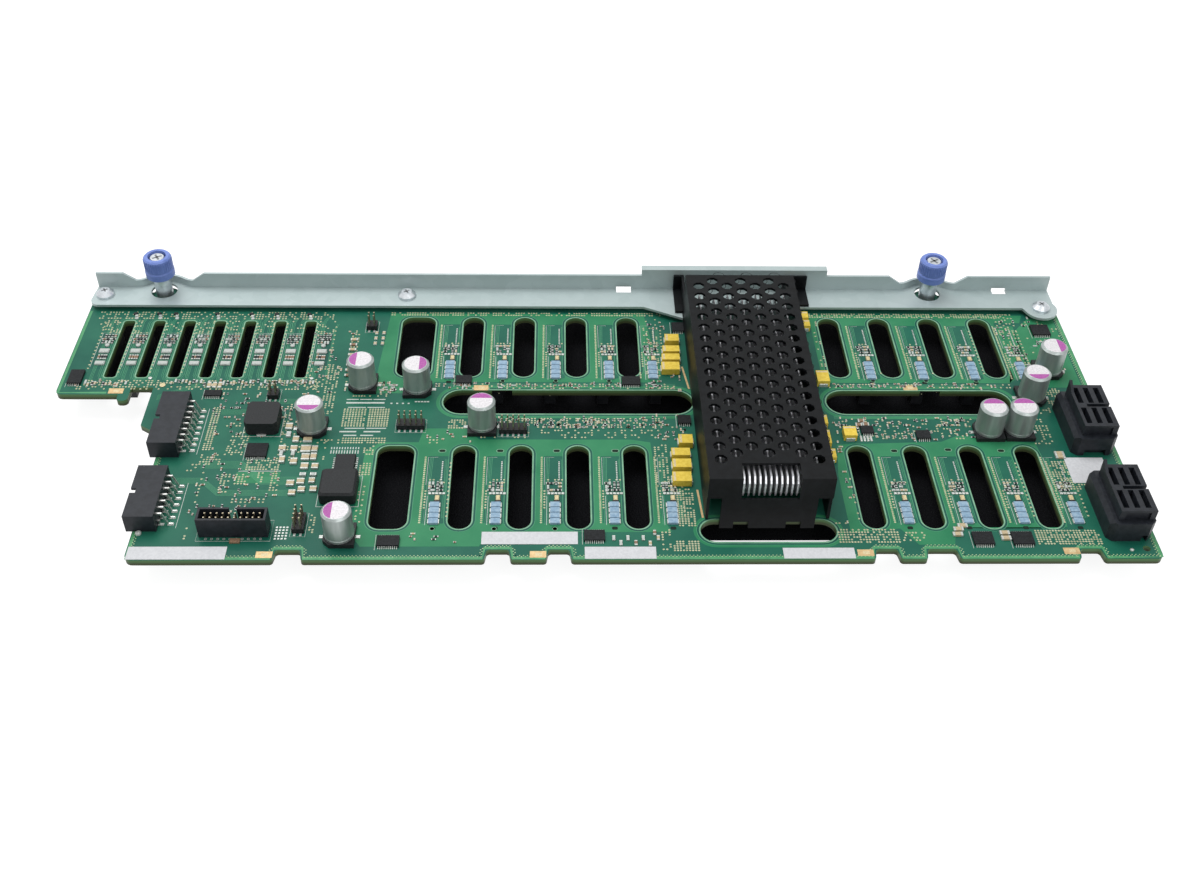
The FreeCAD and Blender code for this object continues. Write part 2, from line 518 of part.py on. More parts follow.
def stiffener_rail():
    sheet, gap = size("rail_sheet"), size("rail_gap")
    face = size("board_depth")
    front = face - size("rail_flange")
    fold, left, right = rail_line(sheet)
    inner, inner_left, inner_right = rail_line(0)

    # flange: straight front edge, with an apron that widens towards the cover
    ear_x = size("board_width") / 2 - size("ear_inset")
    ear_y = face - size("ear_front")
    apron_end = size("cover_x") - size("cover_width") / 2 - size("apron_gap")
    apron_front = front - size("apron_depth")
    flared = Vector(left.x - size("rail_flare"), front, 0)
    extra = [
        Vector(right.x, front, 0), Vector(apron_end, front, 0), Vector(apron_end, apron_front, 0),
        Vector(size("apron_start"), front, 0), flared,
    ]
    flange = closed_face(fold, extra).extrude(Vector(0, 0, sheet))
    up = Vector(0, 0, 1)
    at_corner = [edge for edge in flange.Edges
                 if all((vertex.Point - flared).cross(up).Length < 1e-6 for vertex in edge.Vertexes)]
    flange = flange.makeFillet(size("rail_corner"), at_corner)
    ear = Part.makeCylinder(size("ear_radius"), sheet, Vector(ear_x, ear_y, 0))
    lead = math.radians(size("ear_lead"))
    touch = Vector(ear_x, ear_y, 0) - Vector(math.cos(lead), math.sin(lead), 0) * size("ear_radius")
    web = [Vector(ear_x - size("ear_web"), front, 0), Vector(ear_x, front, 0), touch]
    web = Part.Face(Part.makePolygon(web + web[:1])).extrude(Vector(0, 0, sheet))
    flange = flange.fuse([ear, web])

    # upstand, cut to its profile, with the crown's lip folded back
    wall = Part.Face(Part.Wire(Part.__sortEdges__(fold + inner + [
        Part.LineSegment(left, inner_left).toShape(), Part.LineSegment(right, inner_right).toShape()])))
    wall = wall.extrude(Vector(0, 0, size("crown_height")))
    depth = size("bulge_depth") + 2 * sheet + size("beyond")
    profile = upright_profile()
    profile.translate(Vector(0, face - size("beyond"), 0))
    wall = wall.common(profile.extrude(Vector(0, depth + size("beyond"), 0)))
    wall.translate(Vector(0, 0, -gap))
    keep = Part.makeBox(size("board_width"), depth * 2, size("crown_height") * 2,
                        Vector(-size("board_width") / 2, face - depth, 0))
    wall = wall.common(keep)
    lip = Part.makeBox(size("crown_right") - size("crown_left"), size("crown_lip"), sheet,
                       Vector(size("crown_left"), face, size("crown_height") - gap - sheet))

    # pressed seats that stand on the board under the screws
    seats, holes = [], []
    screw_xy = [(-size("board_width") / 2 + size("left_screw_inset"), face - size("screw_rear")),
                (size("middle_screw"), face - size("screw_rear")), (ear_x, ear_y)]
    for x, y in screw_xy:
        seats.append(Part.makeCylinder(size("rail_seat") / 2, gap, Vector(x, y, -gap)))
        hole = size("screw_shank") / 2 + size("screw_clearance")
        holes.append(Part.makeCylinder(hole, gap + sheet, Vector(x, y, -gap)))
    for x in (size("thumb_left"), size("thumb_right")):
        centre = Vector(x, face - size("thumb_rear"), 0)
        holes.append(Part.makeCylinder(size("thumb_hole") / 2, sheet, centre))
    for x in (size("first_window"), size("second_window")):
        holes.append(Part.makeBox(size("window_length"), size("window_depth") + 2 * sheet,
                                  sheet + size("window_rise"),
                                  Vector(x - size("window_length") / 2, face - size("window_depth"), 0)))

    rail = doc.addObject("Part::Feature", "stiffener_rail")
    solid = flange.fuse([wall, lip] + seats).cut(holes).removeSplitter()
    rail.Shape = solid.Solids[0]
    place(rail, "0", "0", "rail_gap")
    return len(solid.Solids)


def screw(name, x, y):
    """A pan-head screw, seated on the rail."""
    head, shank, tip = "screw_head / 2", "screw_shank / 2", f"{FLANGE_TOP} - screw_length"
    top = f"{FLANGE_TOP} + screw_head_height"
    return revolved(name, [
        ("0", tip), (shank, tip), (shank, FLANGE_TOP), (head, FLANGE_TOP),
        (head, f"{FLANGE_TOP} + screw_rim"), ("screw_crown / 2", top), ("0", top)], x, y)


def rail_fasteners():
    screws, nuts = [], []
    bore, outside = "screw_shank / 2 + screw_clearance", "nut_diameter / 2"
    top, bottom = "-board_thickness", "-board_thickness - nut_height"
    ring = [(bore, bottom), (outside, bottom), (outside, top), (bore, top)]
    for number, (x, y) in enumerate(SCREW_PLACES, start=1):
        screws.append(screw(f"screw_{number}", x, y))
        nuts.append(revolved(f"nut_{number}", ring, x, y))
    group("rail_screws", screws)
    group("press_nuts", nuts)


# ------------------------------------------------------------------ captive thumbscrews

def thumbscrew(side):
    x = f"thumb_{side}"
    bore, neck = "(thread_diameter / 2 + thread_clearance)", "(neck_diameter / 2)"
    shank, barrel = "sleeve_shank / 2", "sleeve_diameter / 2"
    loose_neck = f"{neck} + thread_clearance"
    revolved(f"captive_sleeve_{side}", [
        (bore, "-board_thickness"), (shank, "-board_thickness"), (shank, "0"), (barrel, "0"),
        (barrel, "sleeve_height - sleeve_edge"), (f"{barrel} - sleeve_edge", "sleeve_height"),
        (loose_neck, "sleeve_height"), (loose_neck, "sleeve_height - sleeve_lip"),
        (bore, "sleeve_height - sleeve_lip")], x, THUMB_Y)

    head_bottom = f"({KNOB_TOP} - recess_depth)"
    head_top = f"({head_bottom} + head_height)"
    thread = "thread_diameter / 2"
    thread_top = "sleeve_height - sleeve_lip - thread_top_gap"
    tip = "-board_thickness - thread_reach"
    revolved(f"captive_screw_{side}", [
        ("0", tip), (f"{thread} - thread_point", tip), (thread, f"{tip} + thread_point"),
        (thread, thread_top), (neck, thread_top), (neck, head_bottom),
        ("head_diameter / 2", head_bottom), ("head_diameter / 2", f"{head_top} - head_edge"),
        ("head_diameter / 2 - head_edge", head_top), ("0", head_top)], x, THUMB_Y)

    body_radius, band = "knob_diameter / 2", "knob_band / 2"
    revolved(f"thumb_knob_{side}", [
        ("knob_bore / 2", "knob_bottom"), (f"{band} - knob_edge", "knob_bottom"),
        (band, "knob_bottom + knob_edge"), (band, "knob_bottom + band_height - knob_edge"),
        (body_radius, "knob_bottom + band_height"), (body_radius, f"{KNOB_TOP} - knob_edge"),
        (f"{body_radius} - knob_edge", KNOB_TOP), ("recess_diameter / 2", KNOB_TOP),
        ("recess_diameter / 2", head_bottom), (neck, head_bottom), (neck, KNOB_CEILING),
        ("knob_bore / 2", KNOB_CEILING)], x, THUMB_Y)

    washer_top = f"{KNOB_CEILING} - washer_clearance"
    washer_bottom = f"{KNOB_CEILING} - washer_thickness"
    revolved(f"retaining_washer_{side}", [
        (f"{neck} + washer_clearance", washer_bottom), ("washer_diameter / 2", washer_bottom),
        ("washer_diameter / 2", washer_top), (f"{neck} + washer_clearance", washer_top)], x, THUMB_Y)


# ------------------------------------------------------------------ perforated cover

def expander_cover():
    body = new_body("expander_cover", "cover_x", "0")
    half, inner = "cover_width / 2", "(cover_width / 2 - cover_sheet)"
    inner_front = f"{COVER_FRONT} + cover_sheet"
    pad(body, rectangle(body, "shell", f"-{half}", COVER_FRONT, half, COVER_REAR, z="cover_foot"),
        "cover_height - cover_foot")
    inside = rectangle(body, "inside", f"-{inner}", inner_front, inner, f"{COVER_REAR} + beyond",
                       z="cover_foot")
    pocket(body, inside, "cover_height - cover_foot - cover_sheet", reverse=True)

    # the front is full width at the top only; its middle plate runs down and hooks into the board
    for side, outer in ((-1, f"-{half} - beyond"), (1, f"{half} + beyond")):
        near = f"{side} * plate_width / 2"
        corner = rectangle(body, f"corner_{side + 2}", near, f"{COVER_FRONT} - beyond", outer, inner_front,
                           z="cover_foot")
        pocket(body, corner, "cover_height - face_height - cover_foot", reverse=True)
    foot = rectangle(body, "plate_foot", "-plate_width / 2", COVER_FRONT, "plate_width / 2", inner_front,
                     z="-hook_depth")
    pad(body, foot, "hook_depth + cover_foot")
    for side in (-1, 1):
        gap_left = f"{side} * hook_gap_x - hook_gap_width / 2"
        gap = rectangle(body, f"hook_gap_{side + 2}", gap_left, f"{COVER_FRONT} - beyond",
                        f"{gap_left} + hook_gap_width", f"{inner_front} + beyond", z="-hook_depth - beyond")
        pocket(body, gap, "hook_depth + beyond", reverse=True)

    # low tails of the side walls, with wings that rest on the rail's flange and against its upstand
    wing_rear = "(board_depth - wing_clearance)"
    for side, sign in (("left", "-1"), ("right", "1")):
        near, far = f"{sign} * {half}", f"{sign} * ({half} + {side}_wing_width)"
        pad(body, rectangle(body, f"{side}_tail", near, COVER_REAR, f"{sign} * {inner}", wing_rear,
                            z=FLANGE_TOP), "wing_height")
        pad(body, rectangle(body, f"{side}_wing", near, f"{wing_rear} - {side}_wing_depth", far, wing_rear,
                            z=FLANGE_TOP), "cover_sheet")
        pad(body, rectangle(body, f"{side}_wing_back", near, f"{wing_rear} - cover_sheet", far, wing_rear,
                            z=FLANGE_TOP), "wing_height")

    # staggered perforations, eight-sided to keep the many holes light, and the window for the nose
    top = {"z": "cover_height"}
    first = f"{COVER_REAR} - first_hole"
    across, depth = "2 * hole_column", "cover_sheet + beyond"
    inner = octagon(body, "inner_hole", "hole_diameter", x="-2 * hole_column",
                    y=f"{first} - (inner_rows - 1) * hole_pitch", **top)
    pattern(body, pocket(body, inner, depth), [("X", "3", across), ("Y", "inner_rows", "hole_pitch")])
    outer = octagon(body, "outer_hole", "hole_diameter", x="-3 * hole_column",
                    y=f"{first} - (outer_rows - 0.5) * hole_pitch", **top)
    pattern(body, pocket(body, outer, depth), [("X", "4", across), ("Y", "outer_rows", "hole_pitch")])
    last = octagon(body, "last_hole", "hole_diameter", x="-3 * hole_column",
                   y=f"{first} - (outer_rows + 0.5) * hole_pitch", **top)
    pattern(body, pocket(body, last, depth), [("X", "2", "6 * hole_column")])
    window = rectangle(body, "window", "-window_width / 2", f"{COVER_FRONT} - beyond", "window_width / 2",
                       f"{COVER_FRONT} + window_top", **top)
    pocket(body, window, "window_front")


# ------------------------------------------------------------------ heat sink and expander chip

def heat_sink():
    base_top = "(chip_height + sink_base)"
    body = new_body("heat_sink", "cover_x", "0")
    base = rectangle(body, "base", "-sink_width / 2", "sink_front", "sink_width / 2", "sink_rear",
                     z="chip_height")
    pad(body, base, "sink_base")
    nose = [("sink_front", base_top), ("sink_rear", base_top), ("sink_rear", "fin_top"),
            ("nose_front + fin_pitch", "fin_top"), ("nose_front", "fin_top - fin_pitch"),
            ("nose_front", "nose_bottom"), ("sink_front", "nose_bottom")]
    first_nose = "-(nose_fins - 1) / 2 * fin_pitch - fin_thickness / 2"
    fin = pad(body, outline(body, "nose_fin", nose, "YZ_Plane", z=first_nose), "fin_thickness")
    pattern(body, fin, [("X", "nose_fins", "fin_pitch")])
    starts = {
        "left": f"{first_nose} - side_fins * fin_pitch",
        "right": f"{first_nose} + nose_fins * fin_pitch",
    }
    for side, start in starts.items():
        plain = rectangle(body, f"{side}_fin", "sink_front", base_top, "sink_rear", "fin_top", "YZ_Plane",
                          z=start)
        fin = pad(body, plain, "fin_thickness")
        pattern(body, fin, [("X", "side_fins", "fin_pitch")])
    box("expander_chip", "cover_x - chip_size / 2", "chip_front", "0",
        "chip_size", "chip_size", "chip_height")


# ------------------------------------------------------------------ power parts

def capacitors():
    bases = []
    for number, (anchor, x, y, turns) in enumerate(CAPACITORS, start=1):
        at = (f"{anchor} + ({x})", f"{y}")
        radius = "can_diameter / 2"
        revolved(f"bulk_capacitor_{number}", [
            ("0", "base_height"), (radius, "base_height"), (radius, "can_height - can_edge"),
            (f"{radius} - can_edge", "can_height"), ("0", "can_height")], *at)
        base = new_body(f"capacitor_base_{number}", *at)
        base.Placement.Rotation = FreeCAD.Rotation(Vector(0, 0, 1), 90 * turns)
        half, cut_off = "base_size / 2", "(base_size / 2 - base_chamfer)"
        pad(base, outline(base, "plate", [
            (f"-{half}", f"-{half}"), (cut_off, f"-{half}"), (half, f"-{cut_off}"), (half, cut_off),
            (cut_off, half), (f"-{half}", half)]), "base_height")
        bases.append(base)
    group("capacitor_bases", bases)


def chamfered_block(name, x, y, width, depth, height, chamfer):
    """A moulded block whose upright edges are chamfered."""
    body = new_body(name, x, y)
    far_x, far_y = f"({width} - {chamfer})", f"({depth} - {chamfer})"
    pad(body, outline(body, "plan", [
        (chamfer, "0"), (far_x, "0"), (width, chamfer), (width, far_y), (far_x, depth), (chamfer, depth),
        ("0", far_y), ("0", chamfer)]), height)


def power_socket(number, row):
    """A right-angle wire-to-board socket that opens over the board's left edge, with its pins."""
    pins, front = f"{row}_power_pins", f"{row}_power_front"
    length = f"(({pins} - 1) * power_pitch + 2 * power_end)"
    left = f"{LOWER_LEFT} - power_overhang"
    socket = new_body(f"power_socket_{number}", left, front)
    pad(socket, rectangle(socket, "shell", "0", "0", "power_width", length), "power_height")
    mouth = rectangle(socket, "mouth", "power_wall", "power_wall", f"{length} - power_wall",
                      "power_height - power_wall", "YZ_Plane", z="power_cavity")
    pocket(socket, mouth, "power_cavity + beyond")
    latch = rectangle(socket, "latch", "-beyond", f"({length} - latch_width) / 2", "latch_depth",
                      f"({length} + latch_width) / 2", z="power_height + beyond")
    pocket(socket, latch, "power_wall + 2 * beyond")
    edge = "(power_pin / 2 + pin_clearance)"
    hole = rectangle(socket, "pin_hole", f"power_end - {edge}", "lower_pin - power_pin - pin_clearance",
                     f"power_end + {edge}", "lower_pin + pin_clearance", "YZ_Plane",
                     z="power_width + beyond")
    pattern(socket, pocket(socket, hole, "power_width - power_cavity + 2 * beyond"),
            [("Y", pins, "power_pitch"), ("Z", "2", "upper_pin - lower_pin")])

    # each column has an upper pin that slopes down to its foot and a lower one that drops to the board
    body = new_body(f"power_pins_{number}", left, front)
    start, bend, drop = "(power_cavity - pin_inside)", "(power_width + pin_run)", "(power_width + lower_run)"
    foot = f"({bend} + pin_slope)"
    toe = f"({foot} + pin_foot)"
    profiles = {
        "upper": [(start, "upper_pin"), (bend, "upper_pin"), (foot, "power_pin"), (toe, "power_pin"),
                  (toe, "0"), (f"{foot} - power_pin / 2", "0"),
                  (f"{bend} - power_pin / 2", "upper_pin - power_pin"), (start, "upper_pin - power_pin")],
        "lower": [(start, "lower_pin"), (f"{drop} + power_pin", "lower_pin"), (f"{drop} + power_pin", "0"),
                  (drop, "0"), (drop, "lower_pin - power_pin"), (start, "lower_pin - power_pin")],
    }
    for row_name, profile in profiles.items():
        sketch = outline(body, f"{row_name}_pin", profile, "XZ_Plane", z="-power_end - power_pin / 2")
        pattern(body, pad(body, sketch, "power_pin"), [("Y", pins, "power_pitch")])


# ------------------------------------------------------------------ connectors on the component side

def cable_connector(number, row):
    """An upright cable connector: a skirt on the board and a slotted block on top of it."""
    body = new_body(f"cable_connector_{number}", f"{RIGHT} - cable_inset", f"{row}_cable_front")
    chamfer, right, rear = "cable_chamfer", "(cable_width - cable_chamfer)", "cable_depth"
    skirt = [
        (chamfer, "0"), (right, "0"), ("cable_width", chamfer),
        ("cable_width", rear), ("0", rear), ("0", chamfer),
    ]
    pad(body, outline(body, "skirt", skirt), "cable_skirt")
    ledge = [("-beyond", "cable_skirt - cable_chamfer - beyond"),
             ("cable_chamfer + beyond", "cable_skirt + 2 * beyond"), ("-beyond", "cable_skirt + 2 * beyond")]
    pocket(body, outline(body, "ledge", ledge, "XZ_Plane", z="beyond"), "cable_depth + 2 * beyond")
    relief = rectangle(body, "relief", f"{row}_relief_x", "-beyond", f"{row}_relief_x + {row}_relief_width",
                       "cable_relief_depth")
    pocket(body, relief, "cable_relief_height", reverse=True)

    # the block, its front panel between two ribs, and the spike at its rear left corner
    top_right, top_rear = "(cable_top_x + cable_top_width)", "(cable_top_y + cable_top_depth)"
    block = rectangle(body, "block", "cable_top_x", "cable_top_y", top_right, top_rear, z="cable_skirt")
    pad(body, block, "cable_height - cable_skirt")
    panel = rectangle(body, "panel", "cable_top_x + cable_rib", "cable_top_y - beyond",
                      f"{top_right} - cable_rib", "cable_top_y + cable_panel_depth", z="cable_skirt")
    pocket(body, panel, "cable_height - cable_skirt - cable_panel_lid", reverse=True)
    spike = [(f"{top_rear} - cable_spike_depth", "cable_height"), (top_rear, "cable_height"),
             (top_rear, "cable_height + cable_spike_height")]
    pad(body, outline(body, "spike", spike, "YZ_Plane", z="cable_top_x"), "cable_spike_width")

    # three slots in each of two rows, with a channel between the rows that runs out to the right
    left, front = "(cable_top_x + cable_slot_x)", "(cable_top_y + cable_slot_y)"
    slot = rectangle(body, "slot", left, front, f"{left} + cable_slot_width", f"{front} + cable_slot_length",
                     z="cable_height")
    pattern(body, pocket(body, slot, "cable_slot_depth"),
            [("X", "3", "cable_slot_pitch"), ("Y", "2", "cable_row_pitch")])
    between = "(cable_top_y + cable_top_depth / 2 - cable_gap / 2)"
    channel = rectangle(body, "channel", f"{left} + cable_slot_width + cable_inner_wall", between,
                        f"{top_right} + beyond", f"{between} + cable_gap", z="cable_height")
    pocket(body, channel, "cable_gap_depth")


def ribbon_header():
    length = "((ribbon_columns - 1) * ribbon_pitch + 2 * ribbon_end)"
    left = f"(ribbon_x - {length} / 2)"
    front = "(ribbon_y - ribbon_width / 2)"
    body = new_body("ribbon_header", left, front)
    pad(body, rectangle(body, "shell", "0", "0", length, "ribbon_width"), "ribbon_height")
    inside = rectangle(body, "inside", "ribbon_wall", "ribbon_wall", f"{length} - ribbon_wall",
                       "ribbon_width - ribbon_wall", z="ribbon_height")
    pocket(body, inside, "ribbon_height - ribbon_floor")
    key = rectangle(body, "keyway", f"({length} - ribbon_key) / 2", "ribbon_width - 2 * ribbon_wall",
                    f"({length} + ribbon_key) / 2", "ribbon_width + beyond", z="ribbon_height")
    pocket(body, key, "ribbon_height - ribbon_floor")
    first_pin = "ribbon_x - (ribbon_columns - 1) * ribbon_pitch / 2"
    pin_group("ribbon_pins", first_pin, "ribbon_y - ribbon_pitch / 2", SIZES["ribbon_columns"], 2,
              "ribbon_pitch", "ribbon_floor", "ribbon_pin_top")


def pin_group(name, x, y, columns, rows, pitch, bottom, top):
    """A grid of square pins standing on a header's floor."""
    pins = []
    for column in range(columns):
        for row in range(rows):
            left = f"{x} + {column} * {pitch} - header_pin / 2"
            front = f"{y} + {row} * {pitch} - header_pin / 2"
            pin_name = f"{name}_{column + 1}_{row + 1}"
            pins.append(box(pin_name, left, front, bottom, "header_pin", "header_pin", f"{top} - {bottom}"))
    return group(name, pins)


def jumper_headers():
    bodies, pins = [], []
    for number, (anchor, x, y, columns, rows) in enumerate(JUMPERS, start=1):
        first_pin = f"{anchor} + ({x})"
        left, front = f"{first_pin} - jumper_pitch / 2", f"{y} - jumper_pitch / 2"
        bodies.append(box(f"jumper_body_{number}", left, front, "0", f"{columns} * jumper_pitch",
                          f"{rows} * jumper_pitch", "jumper_body"))
        pins.append(pin_group(f"jumper_pins_{number}", first_pin, f"{y}", columns, rows, "jumper_pitch",
                              "jumper_body", "jumper_pin_top"))
    group("jumper_headers", bodies)
    group("jumper_pins", pins)


# ------------------------------------------------------------------ sockets on the underside

def drive_socket_form():
    """A drive socket under the board: a slotted housing between two guide posts with bevelled tips."""
    body = new_body("drive_socket_form")
    side, back = "socket_width / 2", "(-board_thickness)"
    housing = rectangle(body, "housing", f"-{side}", "0", side, "socket_length", z=back)
    pad(body, housing, "socket_body", down=True)
    tip, shoulder = f"{back} - socket_height", f"{back} - socket_height + guide_taper"
    rear_end = "(socket_length + guide_length)"
    posts = {
        "front": ("0", "-guide_length", "-guide_length + guide_taper"),
        "rear": ("socket_length", rear_end, f"{rear_end} - guide_taper"),
    }
    for end, (near, far, bevel) in posts.items():
        post = [(near, back), (far, back), (far, shoulder), (bevel, tip), (near, tip)]
        pad(body, outline(body, f"{end}_post", post, "YZ_Plane", z="-guide_width / 2"), "guide_width")
    slot_side, first = "socket_slot_width / 2", "((socket_length - socket_slot_length) / 2)"
    last = f"({first} + socket_slot_length)"
    key_front = f"({first} + key_place)"
    key_rear, key_side = f"({key_front} + key_width)", f"-({slot_side} + key_reach)"
    slot = [
        (f"-{slot_side}", first), (slot_side, first), (slot_side, last), (f"-{slot_side}", last),
        (f"-{slot_side}", key_rear), (key_side, key_rear),
        (key_side, key_front), (f"-{slot_side}", key_front),
    ]
    pocket(body, outline(body, "slot", slot, z=f"{back} - socket_body"), "socket_slot_depth", reverse=True)
    return body


def card_socket_form():
    """A narrow card socket under the board, with one plain slot."""
    body = new_body("card_socket_form")
    side, back = "card_socket_width / 2", "(-board_thickness)"
    housing = rectangle(body, "housing", f"-{side}", "0", side, "card_socket_length", z=back)
    pad(body, housing, "card_socket_height", down=True)
    slot_side, first = "card_opening_width / 2", "(card_socket_length - card_opening_length) / 2"
    slot = rectangle(body, "slot", f"-{slot_side}", first, slot_side, f"{first} + card_opening_length",
                     z=f"{back} - card_socket_height")
    pocket(body, slot, "card_opening_depth", reverse=True)
    return body


def copy_of(name, form, x, y):
    """The form again, moved over the board."""
    item = group(name, [form])
    bind(item, Placement__Base__x=x, Placement__Base__y=y)
    return item


def drive_columns():
    """The drives stand half a pitch beside the air slots, five on the left and four on the right."""
    left = [f"(left_column + {index - 0.5} * column_pitch)" for index in range(5)]
    return left + [f"(right_column + {index + 0.5} * column_pitch)" for index in range(4)]


def underside_sockets():
    form = drive_socket_form()
    fronts = ("lower_socket_front", "upper_socket_front")
    places = [(x, front) for front in fronts for x in drive_columns()]
    for number, (x, front) in enumerate(places, start=1):
        copy_of(f"drive_socket_{number:02d}", form, x, front)
    form = card_socket_form()
    front = "card_slot_front + (card_slot_length - card_socket_length) / 2"
    cards = []
    for index in range(8):
        x = f"{LEFT} + card_slot_inset + {index - 0.5} * card_pitch"
        cards.append(copy_of(f"card_socket_{index + 1}", form, x, front))
    group("card_sockets", cards)


# ------------------------------------------------------------------ small parts

def block_group(name, places, height):
    blocks = []
    for number, (anchor, x, y, width, depth) in enumerate(places, start=1):
        left = f"{anchor} + ({x})"
        blocks.append(box(f"{name}_{number}", left, f"{y}", "0", f"{width}", f"{depth}", height))
    group(name, blocks)


def resistor_arrays():
    parts = []
    for front, shifts in (("lower_array_front", LOWER_ARRAYS), ("upper_array_front", UPPER_ARRAYS)):
        for x, shift in zip(drive_columns(), shifts):
            left = f"{x} + ({shift}) - array_width / 2"
            for index in range(SIZES["array_parts"]):
                near = f"{front} + {index} * (array_part + array_gap)"
                parts.append(box("resistor", left, near, "0", "array_width", "array_part", "array_height"))
    group("resistor_arrays", parts)


# ------------------------------------------------------------------ build, check and export

circuit_board()
rail_solids = stiffener_rail()
rail_fasteners()
for side in ("left", "right"):
    thumbscrew(side)
expander_cover()
heat_sink()
capacitors()
chamfered_block("power_inductor", f"{LOWER_LEFT} + 29.1", "60.8", "inductor_width", "inductor_depth",
                "inductor_height", "inductor_chamfer")
chamfered_block("filter_choke", f"{LOWER_LEFT} + 58.4", "28.3", "choke_width", "choke_depth", "choke_height",
                "inductor_chamfer")
for number, row in enumerate(("first", "second"), start=1):
    power_socket(number, row)
    cable_connector(number, row)
ribbon_header()
jumper_headers()
underside_sockets()
block_group("logic_chips", LOGIC_CHIPS, "logic_height")
block_group("tantalum_capacitors", TANTALUMS, "tantalum_height")
resistor_arrays()

NODES = ["circuit_board", "stiffener_rail", "rail_screws", "press_nuts"]
for side in ("left", "right"):
    NODES += [f"captive_sleeve_{side}", f"captive_screw_{side}"]
    NODES += [f"thumb_knob_{side}", f"retaining_washer_{side}"]
NODES += ["expander_cover", "heat_sink", "expander_chip"]
NODES += [f"bulk_capacitor_{number}" for number in range(1, len(CAPACITORS) + 1)]
NODES += ["capacitor_bases", "power_inductor", "filter_choke"]
NODES += ["power_socket_1", "power_pins_1", "power_socket_2", "power_pins_2"]
NODES += ["cable_connector_1", "cable_connector_2", "ribbon_header", "ribbon_pins"]
NODES += ["jumper_headers", "jumper_pins"]
NODES += [f"drive_socket_{number:02d}" for number in range(1, 19)]
NODES += ["card_sockets", "logic_chips", "tantalum_capacitors", "resistor_arrays"]

doc.recompute()
for item in doc.Objects:
    if "Invalid" in item.State or "Error" in item.State:
        raise RuntimeError(f"{item.Name} failed: {item.State}")
if rail_solids != 1:
    raise RuntimeError("the rail is in more than one piece")
os.makedirs("parts", exist_ok=True)
for name in NODES:
    item = doc.getObject(name)
    if item.Shape.isNull() or not item.Shape.isValid():
        raise RuntimeError(f"{name} has no valid shape")
    item.Shape.exportStep(f"parts/{item.Label}.step")
print(f"{len(NODES)} nodes written")
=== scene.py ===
"""Looks of the drive backplane board: finishes, solder, printed marks and small parts.

Places are board millimetres: x from the middle of the board, y from its front edge and z from its
component side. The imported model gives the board, the middles of the slots and the parts that these are
set against; the sizes of the slots and the cover's perforations are repeated here.
"""
import bpy
import json
import math
import random
from mathutils import Matrix, Vector


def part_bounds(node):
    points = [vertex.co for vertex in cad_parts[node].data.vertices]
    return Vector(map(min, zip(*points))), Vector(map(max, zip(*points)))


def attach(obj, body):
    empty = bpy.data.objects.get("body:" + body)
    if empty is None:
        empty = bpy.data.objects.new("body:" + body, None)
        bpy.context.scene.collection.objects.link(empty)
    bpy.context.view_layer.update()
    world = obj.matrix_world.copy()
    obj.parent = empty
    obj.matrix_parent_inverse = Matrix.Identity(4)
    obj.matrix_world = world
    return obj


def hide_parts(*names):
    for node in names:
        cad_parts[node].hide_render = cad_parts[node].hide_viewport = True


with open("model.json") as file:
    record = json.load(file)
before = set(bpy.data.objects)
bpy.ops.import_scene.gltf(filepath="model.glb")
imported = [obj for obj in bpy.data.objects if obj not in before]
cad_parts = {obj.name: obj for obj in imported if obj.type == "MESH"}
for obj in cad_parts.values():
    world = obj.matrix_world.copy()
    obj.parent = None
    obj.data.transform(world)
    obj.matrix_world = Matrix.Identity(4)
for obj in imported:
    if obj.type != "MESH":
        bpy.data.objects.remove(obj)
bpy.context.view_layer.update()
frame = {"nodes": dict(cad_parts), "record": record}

MM = 0.001
BOARD_LOW, BOARD_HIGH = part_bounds("circuit_board")
THICKNESS = (BOARD_HIGH.z - BOARD_LOW.z) / MM
HALF_WIDTH = BOARD_HIGH.x / MM
BOARD_REAR = (BOARD_HIGH.y - BOARD_LOW.y) / MM
dice = random.Random(5004)


def spot(x, y, z=0.0):
    """The scene's point for a place in board millimetres."""
    return Vector((x * MM, BOARD_LOW.y + y * MM, BOARD_HIGH.z + z * MM))


def place_of(point):
    """Board millimetres of a point of the scene."""
    return point.x / MM, (point.y - BOARD_LOW.y) / MM, (point.z - BOARD_HIGH.z) / MM


# ------------------------------------------------------------------ materials

def new_material(name):
    material = bpy.data.materials.new(name)
    material.use_nodes = True
    nodes = material.node_tree.nodes
    return material, nodes, material.node_tree.links, nodes["Principled BSDF"]


def new_node(nodes, kind, **values):
    """A shader node with some inputs set; an underscore in a name stands for a space."""
    node = nodes.new("ShaderNode" + kind)
    for name, value in values.items():
        node.inputs[name.replace("_", " ")].default_value = value
    return node


def object_noise(nodes, links, scale, detail=3.0, stretch=(1, 1, 1)):
    """Noise over object coordinates; the scale counts waves per metre."""
    place = nodes.new("ShaderNodeTexCoord")
    sizing = new_node(nodes, "Mapping", Scale=stretch)
    links.new(place.outputs["Object"], sizing.inputs["Vector"])
    noise = new_node(nodes, "TexNoise", Scale=scale, Detail=detail, Roughness=0.55)
    links.new(sizing.outputs["Vector"], noise.inputs["Vector"])
    return noise


def colour_ramp(nodes, links, source, first, second, low=0.0, high=1.0):
    """A ramp that turns a value into a colour between two tones."""
    ramp = nodes.new("ShaderNodeValToRGB")
    for element, place, tone in zip(ramp.color_ramp.elements, (low, high), (first, second)):
        element.position = place
        element.color = (*tone, 1)
    links.new(source, ramp.inputs["Fac"])
    return ramp


def two_tones(nodes, links, noise, first, second, low=0.35, high=0.65):
    return colour_ramp(nodes, links, noise.outputs["Fac"], first, second, low, high)


def add_bump(nodes, links, shader, height, strength, distance):
    bump = new_node(nodes, "Bump", Strength=strength, Distance=distance)
    links.new(height, bump.inputs["Height"])
    links.new(bump.outputs["Normal"], shader.inputs["Normal"])


